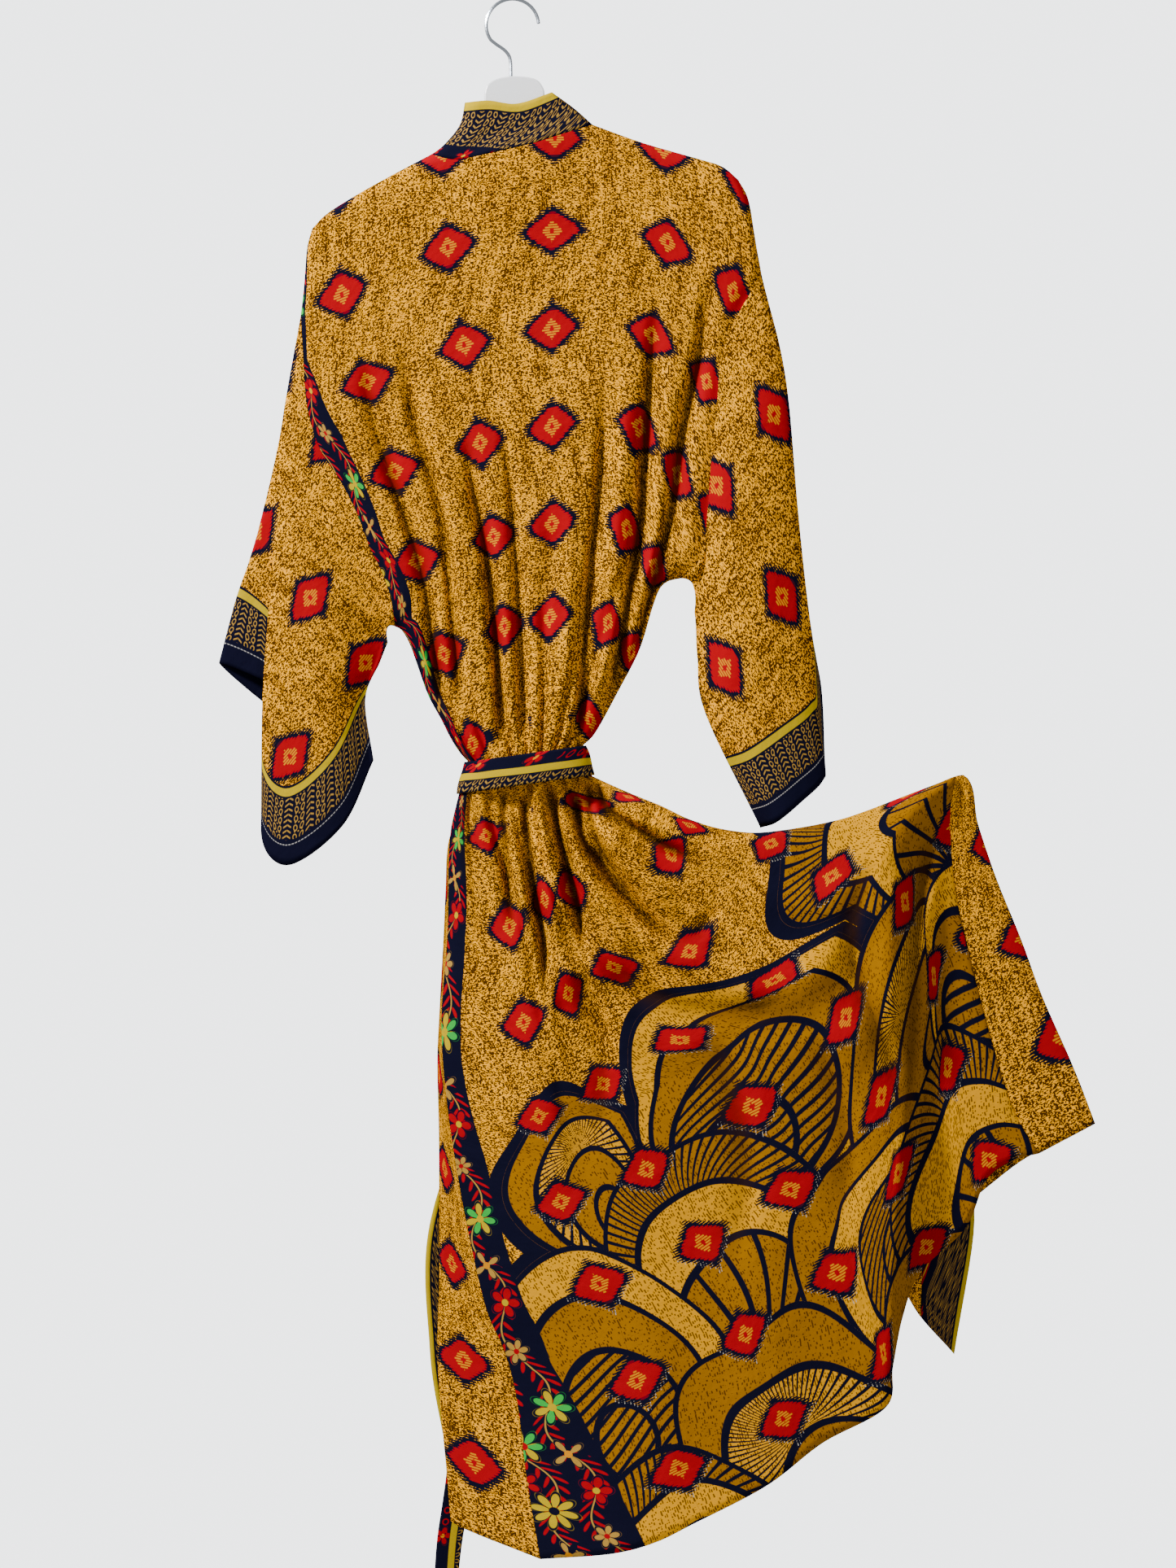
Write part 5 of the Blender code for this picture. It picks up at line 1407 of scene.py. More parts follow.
@dataclass(frozen=True)
class ShellPrint:
    """The large shells: mustard and pale ochre crescents, navy lines, ribs and hatching."""

    outline: float = 5.2
    line: float = 3.2
    fine_line: float = 1.9
    edge: float = 12.0
    lean: float = 0.86
    rib_turn: float = 0.26
    spoke_gap: float = 10.5
    rule_gap: float = 10.0
    bend: Pair = (190.0, 70.0)
    lift: Pair = (170.0, 60.0)

    def over(self, dye: Dye, base: Socket) -> tuple[Socket, Shade]:
        """Prints the shells over the ground: finds the topmost shell at each place, then draws that one.

        Args:
            dye, base: The tree and the ground.

        Returns:
            The colour with the shells, and the mask of the printed part.
        """
        (wide, bend), (long, lift) = self.bend, self.lift
        u = dye.u + dye.cloud(dye.u / wide, dye.v / wide, 0.0) * bend - bend / 2
        v = dye.v + dye.cloud(dye.v / long, dye.u / long, 0.0) * lift - lift / 2
        place = dye.point(u, v)
        middle, manner, beyond = (1e4, 1e4, 1.0), (0.0, 0.0, 0.0), None
        for shell in SHELLS:
            reach = dye.reach(place, (shell.u, shell.v, 0.0))
            inside = reach.below(shell.radius, 0.01)
            middle = dye.either(middle, (shell.u, shell.v, shell.radius), inside)
            manner = dye.either(manner, (shell.turn, shell.tone, shell.filling.value), inside)
            beyond = reach - shell.radius if beyond is None else beyond.least(reach - shell.radius)
        middle_u, middle_v, radius = dye.parts(middle)
        turn, tone, filling = dye.parts(manner)
        lean_u, lean_v = (turn + np.pi / 2).wave(), turn.wave()
        away_u, away_v = u - middle_u, v - middle_v
        rings = []
        for share in SHELL_RINGS:
            shift = radius * (self.lean * (1 - share))
            rings.append(far(away_u - lean_u * shift, away_v - lean_v * shift) - radius * share)
        second, third = rings[0].below(0.0, 0.01), rings[1].below(0.0, 0.01)
        ribs, hatch = abs(filling - 1.0).below(0.5, 0.01), abs(filling - 2.0).below(0.5, 0.01)
        leaf = filling.below(0.5, 0.01)
        along_it = away_u * lean_u + away_v * lean_v
        beside = away_v * lean_u - away_u * lean_v
        heel = radius * 0.95 - along_it
        rib = abs(beside.angle(heel).about(self.rib_turn)) * far(beside, heel)
        spoke = abs((beside.angle(along_it + radius * 0.2) * radius).about(self.spoke_gap))
        rule = abs((away_u * 0.35 + away_v).about(self.rule_gap))
        pale = abs(tone - (second - third)).most(ribs * third * tone)
        pale = pale * (1.0 - hatch * third)
        line = (abs(far(away_u, away_v) - radius) - self.outline).least(abs(rings[0]) - self.line)
        line = line.least(abs(rings[1]) - self.line).least(abs(rings[2]) - self.line + ribs * 99.0)
        drawn = line.below(0.0).most(rib.below(self.line * 0.8) * ribs * third)
        spoked = (ribs * (1.0 - second)).most(leaf * (second - third))
        drawn = drawn.most(spoke.below(self.fine_line) * spoked)
        drawn = drawn.most(rule.below(self.fine_line) * hatch * third)
        sparse = FleckedGround().columns(dye, 0.0, 0.30, 3.6, 0.58 - pale * 0.055)
        fields = dye.over(MUSTARD, (PALE_OCHRE, pale), (FLECK, sparse * 0.85), (NAVY, drawn))
        edged = beyond.below(self.edge, 0.6)
        return dye.over(base, (NAVY, edged), (fields, beyond.below(0.0))), edged


# Cloths


@dataclass(frozen=True)
class PrintedCloth:
    """The printed cloth: flecked ochre with diamonds, on some pieces with the shells, border or cuff."""

    shells: bool = False
    border: bool = False
    cuff: bool = False
    phase: Pair = (0.0, 0.0)
    cuff_depth: float = 78.0
    stripe: float = 71.5
    stripe_half: float = 4.0
    paisley: float = 45.0
    paisley_half: float = 20.5
    stitch_row: float = 20.0
    stitch: float = 3.0
    # How dark the painted shade in the creases gets
    painted_shade_strength: float = 0.85

    def cuffed(self, dye: Dye, base: Socket) -> Socket:
        """Prints the cuff by the field "hem": navy, a yellow stripe, paisley and the hem's stitches.

        Args:
            dye, base: The tree and the colour beneath.

        Returns:
            The colour with the cuff.
        """
        hem, round_it = dye.reading("hem"), dye.reading("round")
        stripe = abs(hem - self.stripe).below(self.stripe_half)
        colour = dye.over(base, (NAVY, hem.below(self.cuff_depth)), (YELLOW, stripe))
        band = abs(hem - self.paisley).below(self.paisley_half)
        colour = Paisley().over(dye, colour, round_it, hem - 24.0, band)
        dash = (round_it / self.stitch).fract().below(0.7, 0.2)
        stitch = abs(hem - self.stitch_row).below(0.45, 0.4) * dash
        return dye.over(colour, (SEWING, stitch))

    def material(self, name: str) -> bpy.types.Material:
        """The printed cloth's material.

        Args:
            name: Its name.

        Returns:
            The material.
        """
        dye = Dye(name)
        chalk = tuck = None
        if self.border:
            dye.weave, tuck = dye.reading("weave"), dye.reading("tuck")
        colour = FleckedGround().colour(dye)
        if self.shells:
            colour, chalk = ShellPrint().over(dye, colour)
        colour = Diamonds().over(dye, colour, dye.u, dye.v, self.phase, chalk, tuck)
        if self.border:
            inward = dye.reading("border")
            mask = inward.above(0.0)
            colour = FloweredBorder().over(dye, dye.over(colour, (NAVY, mask)), inward, dye.v, mask)
            # Painted shade: darkens the creases' valleys by the field the back carries
            colour = dye.over(colour, (PAINTED_CREASE_SHADE, dye.reading("painted_shade") * self.painted_shade_strength))
        if self.cuff:
            colour = self.cuffed(dye, colour)
        return dye.finish(colour, ClothFinish())


@dataclass(frozen=True)
class TrimCloth:
    """The collar's and front bands' trim, from its free edge in: yellow, paisley, then a run of flowers."""

    yellow: float = 4.5
    paisley: float = 37.0
    run: float = 11.5
    bloom: Bloom = Bloom(0, 0, 6, 0.2, 9.0, RED, RED, YELLOW)
    bloom_pitch: float = 34.0

    def material(self, name: str) -> bpy.types.Material:
        """The trim's material, by the flat map's u.

        Args:
            name: Its name.

        Returns:
            The material.
        """
        dye = Dye(name)
        edge = dye.u
        colour = dye.over(NAVY, (YELLOW, edge.below(self.yellow)))
        middle, half = (self.yellow + 2.0 + self.paisley) / 2, (self.paisley - self.yellow - 2.0) / 2
        colour = Paisley().over(dye, colour, dye.v, edge - self.yellow - 3.0, abs(edge - middle).below(half))
        beyond = edge.above(self.paisley + 1.0)
        across = edge - self.paisley - self.run
        down = dye.v.about(self.bloom_pitch)
        colour = FloweredBorder().flower(dye, colour, across, down, self.bloom, beyond)
        return dye.finish(colour, ClothFinish())


@dataclass(frozen=True)
class SashCloth:
    """The sash: red flowers and hooks on navy above, a yellow stripe, and paisley below."""

    upper: float = 12.0
    stripe: float = 16.0
    stripe_half: float = 3.4
    paisley: float = 20.0
    bloom: Bloom = Bloom(0, 0, 5, 0.2, 10.0, RED, RED, ORANGE)
    bloom_pitch: float = 58.0
    hook_pitch: float = 11.5
    hook_radius: float = 2.8

    def material(self, name: str) -> bpy.types.Material:
        """The sash's material, by the flat map's v.

        Args:
            name: Its name.

        Returns:
            The material.
        """
        dye = Dye(name)
        down, upper = dye.v, dye.v.below(self.upper)
        colour = dye.over(NAVY, (YELLOW, abs(down - self.stripe).below(self.stripe_half)))
        colour = Paisley().over(dye, colour, dye.u, down - self.paisley, down.above(self.paisley + 0.6))
        across = dye.u.about(self.bloom_pitch)
        colour = FloweredBorder().flower(dye, colour, across, down - 5.0, self.bloom, upper)
        hook = far(dye.u.about(self.hook_pitch, 4.0), down - self.upper / 2)
        clear = dye.u.about(2 * self.bloom_pitch).above(26.0, 1.0)
        arcs = abs(hook - self.hook_radius).below(0.6, 0.4) * clear * upper
        return dye.finish(dye.over(colour, (RED, arcs)), ClothFinish(crumple_depth=0.5))


# Pieces


def grid_mesh(name: str, grid: Array, flat: Array, fields: dict[str, Array], closed: bool
              ) -> bpy.types.Mesh:
    """A grid of points as a smooth mesh.

    Args:
        name: The mesh's name.
        grid: Points in millimetres, rows by columns.
        flat: The flat map in millimetres, rows by columns.
        fields: Further numbers for each point, by name.
        closed: Whether the last column lies on the first one, as on a tube.

    Returns:
        The mesh.
    """
    rows, columns = grid.shape[:2]
    points = grid.reshape(-1, 3) * MM
    index = np.arange(rows * columns).reshape(rows, columns)
    faces = np.stack([index[:-1, :-1], index[1:, :-1], index[1:, 1:], index[:-1, 1:]], -1).reshape(-1, 4)
    mesh = bpy.data.meshes.new(name)
    mesh.vertices.add(len(points))
    mesh.vertices.foreach_set("co", points.astype(np.float32).ravel())
    mesh.loops.add(faces.size)
    mesh.loops.foreach_set("vertex_index", faces.astype(np.int32).ravel())
    mesh.polygons.add(len(faces))
    mesh.polygons.foreach_set("loop_start", np.arange(0, faces.size, 4, dtype=np.int32))
    mesh.update(calc_edges=True)
    layer = mesh.uv_layers.new(name="flat")
    layer.data.foreach_set("uv", (flat.reshape(-1, 2)[faces.ravel()] * MM).astype(np.float32).ravel())
    for label, values in fields.items():
        values = np.broadcast_to(values, grid.shape[:2]).astype(np.float32)
        mesh.attributes.new(label, "FLOAT", "POINT").data.foreach_set("value", values.ravel())
    mesh.shade_smooth()
    mesh.validate()
    if closed:
        bm = bmesh.new()
        bm.from_mesh(mesh)
        bmesh.ops.remove_doubles(bm, verts=bm.verts, dist=0.02 * MM)
        bm.to_mesh(mesh)
        bm.free()
    return mesh


def placed(name: str, data: bpy.types.ID) -> bpy.types.Object:
    """A new object of the scene, at the origin."""
    item = bpy.data.objects.new(name, data)
    bpy.context.scene.collection.objects.link(item)
    return item


def worn(mesh: bpy.types.Mesh, material: bpy.types.Material, node: str, slot: str) -> bpy.types.Object:
    """A cloth mesh as a piece of the garment, in place of a node.

    Args:
        mesh: The piece's mesh, which has its name.
        material: Its print.
        node: The node.
        slot: Its material slot; not used.

    Returns:
        The piece.
    """
    item = placed(mesh.name, mesh)
    mesh.materials.append(material)
    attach(item, "root")
    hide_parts(node)
    LOG.info("%s: %d points", item.name, len(mesh.vertices))
    return item


@dataclass(frozen=True)
class ClothPiece:
    """One cut piece of cloth: the node it stands for, its cut size in metres and what carries it."""

    node: str
    cut: Pair
    rests_on: str
    slot: str = "ochre_cloth"
    held: str = "hung"
    thickness: float = 0.6
    closed: bool = False

    def hang(self, grid: Array, material: bpy.types.Material, flat: Array,
             fields: dict[str, Array] | None = None) -> None:
        """Puts the piece in the scene as a thin shell about its grid.

        Args:
            grid: Points in millimetres, as read in the hanger's plane.
            material: Its print.
            flat: Its flat map.
            fields: Further numbers for its points.
        """
        mesh = grid_mesh("cloth_" + self.node, as_seen(grid), flat, fields or {}, self.closed)
        item = worn(mesh, material, self.node, self.slot)
        shell = item.modifiers.new("thickness", "SOLIDIFY")
        shell.thickness, shell.offset = self.thickness * MM, 0.0
        area = min(area_of(grid), 0.999 * self.cut[0] * self.cut[1])


@dataclass(frozen=True)
class BackPanel:
    """The back: one panel from the shoulders, through the sash, to the hem."""

    body: Body
    piece: ClothPiece = ClothPiece("back", (0.72, 1.47), "hanger_body")
    seam_rounding: float = 0.05
    trough_depths: Pair = (1.5, 4.0)
    trough_widths: Pair = (8.0, 9.0)
    edge_reach: float = 0.3
    step_begins: float = 0.42
    held_share: float = 0.12
    lattice_middle: int = 2
    lattice_counts: Pair = (6.0, 7.0)
    near_enough: float = 4.0
    map_unit: float = 100.0
    belt_border: float = 0.08
    cloth_width: float = 623.0

    @cached_property
    def inside(self) -> Array:
        """0 at both side seams and 1 from a little way in."""
        across = self.body.columns
        return rounded(np.minimum(across, 1 - across) / self.seam_rounding)[None]

    def armhole_trough(self, x: Array, z: Array) -> Array:
        """Shallow trough along both armhole seams: a bell across each, the deeper one on the right."""
        return sum(depth * np.exp(-(distance_to(line.armhole, x, z) / width) ** 2) for line, depth, width
                   in zip(OUTLINES.values(), self.trough_depths, self.trough_widths))

    def upper(self) -> Array:
        """The part above the sash: a patch between its edges, as deep as the body, with the gathers."""
        body, across, rows = self.body, self.body.columns, self.body.rows
        left, right = body.edges.values()
        top_row = body.waist.row(body.waist.rows[0], body.waist_share(across))
        flat = blend_patch(left, right, body.shoulder_point(across), top_row[:, [0, 2]], across, rows)
        x, z = flat[..., 0], flat[..., 1]
        down = rows[:, None]
        depth = body.upper_depth(x, z, down, BACK_DEPTHS) - self.armhole_trough(x, z)
        depth = mixed(depth, top_row[None, :, 1], body.held(down))
        depth = depth - self.inside * pleat_depth(PLEATS_ABOVE, across[None], 1.0 - down)
        shoulder = (across <= NECK_LEFT) | (across >= NECK_RIGHT)
        return np.stack([x, -body.at_rest(depth, shoulder, (0, -1)), z], -1)

    def folds(self, x: Array, z: Array) -> Array:
        """Height of the skirt's folds towards the viewer: a bell with two widths across each bent line."""
        total = np.zeros(x.shape)
        for fold in FOLDS:
            reach, side, share = from_line((fold.start, fold.bend, fold.end), x, z, 8)
            width = np.where(side < 0, fold.left, fold.right)
            height = fold.height * np.sin(np.pi * np.clip(share, 0.02, 0.98)) ** 0.6
            total += height * np.exp(-(reach / width) ** 2)
        return total

    def skirt(self) -> Array:
        """The part below the sash: a patch between its edges, bent by the drifts, with folds and gathers."""
        body, across, rows = self.body, self.body.columns, np.array(SKIRT_ROWS)
        top_row = body.waist.row(body.waist.rows[-1], body.waist_share(across))
        flat = blend_patch(body.skirt_edge(Side.LEFT), body.skirt_edge(Side.RIGHT), top_row[:, [0, 2]],
                           along(HEM, across), across, rows)
        for axis, name in enumerate(("x", "z")):
            drifts = [getattr(drift, name) for drift in DRIFTS]
            by_row = spline_rows([drift.down for drift in DRIFTS], drifts, rows)
            flat[..., axis] += spline_rows(DRIFT_ACROSS, by_row.T, across).T
        x, z = flat[..., 0], flat[..., 1]
        down = rows[:, None]
        from_left, from_right = (np.clip(way / self.edge_reach, 0, 1)[None] for way in (across, 1 - across))
        left_power = 0.5 + 0.5 * ease(down / 0.5)
        right_power = 0.5 + 0.5 * ease((down - 0.45) / 0.15)
        shape = (1 - (1 - from_left) ** 2) ** left_power * (1 - (1 - from_right) ** 2) ** right_power
        edge = mixed(reading(SKIRT_LEFT_EDGE, down), reading(SKIRT_RIGHT_EDGE, down), across)
        depth = mixed(edge, reading(SKIRT_DEPTHS, down), shape)
        mask = ease(np.minimum(across / 0.12, (1 - across) / 0.10))[None] * ease(down / 0.06)
        depth = depth + mask * self.folds(x, z)
        reach, side, _ = from_line(STEP_LINE, x, z, 8)
        behind = ease((down - self.step_begins) / 0.4) * ease(reach * side / STEP_WIDTH + 0.25)
        depth = mixed(depth, edge + STRIP_DEPTH * rounded((1 - across) / 0.04)[None], behind)
        depth = mixed(top_row[None, :, 1], depth, ease(down / self.held_share))
        depth = depth - self.inside * pleat_depth(PLEATS_BELOW, across[None], down)
        return np.stack([x, -depth, z], -1)

    @cached_property
    def grid(self) -> Array:
        """The whole back, from the shoulders to the hem."""
        waist, share = self.body.waist, self.body.waist_share(self.body.columns)
        belt = np.stack([waist.row(height, share) for height in waist.rows])
        pressed = self.inside * pleat_depth(PLEATS_ABOVE, self.body.columns[None], np.zeros((1, 1)))
        belt[..., 1] = -(belt[..., 1] - pressed)
        return np.concatenate([self.upper(), belt[1:-1], self.skirt()])

    def flat_map(self) -> Array:
        """The flat map that puts each diamond of the lattice where it hangs.

        Above the sash the cloth's grain is straight in the view, so the map is a surface over x and z.
        Below it the cloth is folded over itself, so the map is a surface over the grid's own shares.

        Returns:
            Flat u and v in millimetres, rows by columns.
        """
        back = self.grid
        belt = len(self.body.rows) + len(self.body.waist.rows) // 2 - 1
        flat = np.zeros(back.shape[:2] + (2,))
        lattice = np.array([
            (*place, PITCH_ACROSS * (k - self.lattice_middle), PITCH_DOWN * row)
            for row, places in enumerate(ROWS_ABOVE + ROWS_BELOW) for k, place in enumerate(places)])
        above, below = np.split(lattice, [sum(map(len, ROWS_ABOVE))])
        flat[:belt + 1] = thin_plate(above[:, :2] / self.map_unit, above[:, 2:],
                                     back[:belt + 1, :, [0, 2]] / self.map_unit)
        lower = back[belt + 1:]
        wide, long = self.lattice_counts
        shares = np.stack(np.broadcast_arrays(self.body.columns[None] * wide,
                                              np.linspace(0, long, len(lower))[:, None]), -1)
        seen = []
        for x, z in below[:, :2]:
            away = np.hypot(lower[..., 0] - x, lower[..., 2] - z)
            depth = np.where(away < away.min() + self.near_enough, lower[..., 1], np.inf)
            seen.append(shares[np.unravel_index(np.argmin(depth), depth.shape)])
        flat[belt + 1:] = thin_plate(np.array(seen), below[:, 2:], shares)
        return flat

    def border(self) -> Array:
        """How far inside the flowered border's inner edge each point is, in millimetres."""
        belt = np.full(len(self.body.waist.rows) - 2, self.belt_border)
        above, below = reading(BORDER_ABOVE, self.body.rows), reading(BORDER_BELOW, SKIRT_ROWS)
        share = np.concatenate([above, belt, below])
        return (share[:, None] - self.body.columns[None]) * self.cloth_width

    def build(self) -> None:
        """Hangs the back, with its main creases pressed in and their painted shade carried as a field."""
        back, columns, flat = self.grid, self.body.columns, self.flat_map()
        creased = back.copy()
        inside = ease(np.minimum(columns, 1 - columns) / 0.08)[None]
        # The creases' depth, and their painted shade for the print
        pressed, painted_shade = pressed_in(back[..., 0], back[..., 2])
        creased[..., 1] += inside * pressed
        stretch = np.gradient(flat[..., 0], axis=1) / np.maximum(np.gradient(lengths(back, 1), axis=1), 0.01)
        weave = lengths(creased, 1)
        weave = weave - weave[:, [len(columns) // 2]]
        fields = {"border": self.border(), "tuck": np.clip(np.abs(stretch), 1.0, 2.8), "weave": weave,
                  "painted_shade": inside * painted_shade}
        self.piece.hang(creased, PrintedCloth(shells=True, border=True).material("back_cloth"), flat, fields)


@dataclass(frozen=True)
class Collar:
    """The band that stands up round the back of the neck."""

    body: Body
    back: BackPanel
    piece: ClothPiece = ClothPiece("collar", (0.19, 0.056), "cloth_back", slot="navy_band")
    depth: float = 9.5
    rounding: float = 16.0
    stripe: float = 8.5
    paisley: float = 47.0

    def build(self) -> None:
        """Hangs the collar: a patch from the neck seam to its top edge, upright but flat at its ends."""
        first = len(LEFT_COLUMNS) - 1
        base = self.back.grid[0, first:first + len(NECK_COLUMNS)]
        span, rise = np.linspace(0.0, 1.0, len(NECK_COLUMNS)), np.array(BAND_COLUMNS)
        left, right = (line.collar_end for line in OUTLINES.values())
        ends = (along(end, rise) for end in (left, right))
        flat = blend_patch(*ends, base[:, [0, 2]], along(COLLAR_TOP, span), span, rise)
        x, z = flat[..., 0], flat[..., 1]
        from_end = np.minimum(distance_to(left, x, z), distance_to(right, x, z))
        lean = ease(rise / 0.5)[:, None]
        depth = mixed(base[None, :, 1], -self.depth * rounded(from_end / self.rounding), lean)
        depth[:, [0, -1]] = 0.0
        grid = np.stack([x, depth, z], -1)
        run = lengths(grid, 0)
        cloth = TrimCloth(self.stripe, self.paisley).material("collar_cloth")
        self.piece.hang(grid, cloth, np.stack([run[-1:] - run, lengths(grid, 1)], -1))


@dataclass(frozen=True)
class Front:
    """One front: its panel from the shoulder to the hem, and the band down its free edge."""

    body: Body
    side: Side
    rows: tuple
    phase: Pair
    wrap_gap: float = 2.4
    band_share: float = 0.15
    held_share: float = 0.09
    panel_cut: Pair = (0.38, 1.45)
    band_cut: Pair = (0.076, 1.56)

    @property
    def wrap(self) -> float:
        """1 on the left, whose front lies outside, and -1 on the right."""
        return 1.0 if self.side is Side.LEFT else -1.0

    @cached_property
    def columns(self) -> Array:
        """The panel's columns, as shares from its side seam to the band."""
        if self.side is Side.LEFT:
            return np.array(LEFT_COLUMNS) / NECK_LEFT
        return (1.0 - np.array(RIGHT_COLUMNS)[::-1]) / (1.0 - NECK_RIGHT)

    def plan(self) -> tuple[Array, Array]:
        """The upper panel and band as two patches between their lines.

        Returns:
            The (x, z) points, and the share of the waist at which each column ends.
        """
        body, line = self.body, OUTLINES[self.side]
        seam_share, edge_share = line.band_at_waist
        height, rows, band_columns = body.waist.rows[0], body.rows, np.array(BAND_COLUMNS)
        waist_shares = line.waist_share + (seam_share - line.waist_share) * self.columns
        seam_line = along(line.band_seam + (body.waist.end(height, seam_share),), rows)
        edge_line = along(line.band_edge + (body.waist.end(height, edge_share),), rows)
        grain = np.array(LEFT_COLUMNS) if self.side is Side.LEFT else np.array(RIGHT_COLUMNS)[::-1]
        panel = blend_patch(body.edges[self.side], seam_line, body.shoulder_point(grain),
                            body.waist.row(height, waist_shares)[:, [0, 2]], self.columns, rows)
        band_shares = seam_share + (edge_share - seam_share) * band_columns
        band = blend_patch(seam_line, edge_line, along(line.collar_end, band_columns),
                           body.waist.row(height, band_shares)[:, [0, 2]], band_columns, rows)
        return np.concatenate([panel, band[:, 1:]], axis=1), np.concatenate([waist_shares, band_shares[1:]])

    def skirt(self, across: Array, top_row: Array) -> Array:
        """The part below the sash: smooth sections from the side seam, round the turns, to the free edge.

        Args:
            across: Shares from the side seam to the free edge.
            top_row: The row under the sash.

        Returns:
            The rows below.
        """
        seam = self.body.skirt_edge(self.side)
        edge_depth = reading(SKIRT_LEFT_EDGE if self.side is Side.LEFT else SKIRT_RIGHT_EDGE, SKIRT_ROWS)
        side_seam = np.stack([seam[:, 0], -edge_depth, seam[:, 1]], -1)
        stations = np.array(FRONT_STATIONS)
        first = np.stack([np.interp(stations, across, top_row[:, k]) for k in range(3)], -1)[1:]
        keys, points = [0.0] + [row.down for row in self.rows], [first] + [row[1:] for row in self.rows]
        controls = spline_rows(keys, points, SKIRT_ROWS)
        sections = np.concatenate([side_seam[:, None], controls], axis=1)
        shaped = spline_rows(stations, sections.transpose(1, 0, 2), across).transpose(1, 0, 2)
        return mixed(top_row[None], shaped, ease(np.array(SKIRT_ROWS) / self.held_share)[:, None, None])

    @cached_property
    def grid(self) -> Array:
        """The whole front: the panel's columns come first and the band's last."""
        body, line = self.body, OUTLINES[self.side]
        flat, shares = self.plan()
        x, z = flat[..., 0], flat[..., 1]
        down = body.rows[:, None]
        from_side = np.abs(shares - line.waist_share)[None]
        lapped = ease((from_side - 0.12) / 0.2)
        lift = (0.0 if self.side is Side.LEFT else -2 * self.wrap_gap) * lapped[0]
        depth = body.upper_depth(x, z, down, FRONT_DEPTHS)
        depth = depth * rounded(distance_to(line.collar_end, x, z) / body.shoulder_depth)
        early = self.wrap_gap * lapped * ease((down - 0.1) / 0.3) * self.wrap
        top_row = body.waist.row(body.waist.rows[0], shares)
        depth = mixed(depth + early, top_row[None, :, 1] + lift, body.held(down))
        inside = rounded(from_side / 0.06)
        depth = depth - inside * pleat_depth(PLEATS_FRONT, shares[None], 1.0 - down)
        upper = np.stack([x, body.at_rest(depth, slice(None), (0,)), z], -1)
        belt = np.stack([body.waist.row(height, shares) for height in body.waist.rows])
        belt[..., 1] += lift[None] - inside * pleat_depth(PLEATS_FRONT, shares[None], np.zeros((1, 1)))
        on_band = 1 - self.band_share * (1 - np.array(BAND_COLUMNS[1:]))
        across = np.concatenate([self.columns * (1 - self.band_share), on_band])
        return np.concatenate([upper, belt[1:-1], self.skirt(across, belt[-1])])

    def build(self) -> None:
        """Hangs the panel and its band."""
        side, count = self.side.value, len(self.columns)
        name = "front_" + side
        panel, band = self.grid[:, :count], self.grid[:, count - 1:]
        wide, long = lengths(panel, 1)[-40:].mean(axis=0)[None], lengths(panel, 0).mean(axis=1)[:, None]
        flat = np.stack(np.broadcast_arrays(wide, long), -1)
        cloth = PrintedCloth(phase=self.phase).material("front_cloth_" + side)
        ClothPiece(name, self.panel_cut, "hanger_body").hang(panel, cloth, flat)
        run = lengths(band, 1)
        trim = ClothPiece("front_band_" + side, self.band_cut, "cloth_" + name, slot="navy_band")
        trim.hang(band, TrimCloth().material("band_cloth_" + side),
                  np.stack([run[:, -1:] - run, lengths(band, 0)], -1))


@dataclass(frozen=True)
class PrintGrain:
    """How the print lies on a sleeve: where one diamond is, and the steps to the next ones, as (x, z)."""

    origin: Pair
    across: Pair
    down: Pair

    def flat(self, grid: Array) -> Array:
        """The flat map of a grid seen from behind, by solving for how many steps each point is away.

        Args:
            grid: Points in millimetres.

        Returns:
            Flat u and v in millimetres.
        """
        steps = np.array([self.across, self.down], float).T
        counts = (grid[..., [0, 2]] - np.array(self.origin)) @ np.linalg.inv(steps).T
        return counts * (PITCH_ACROSS, PITCH_DOWN)


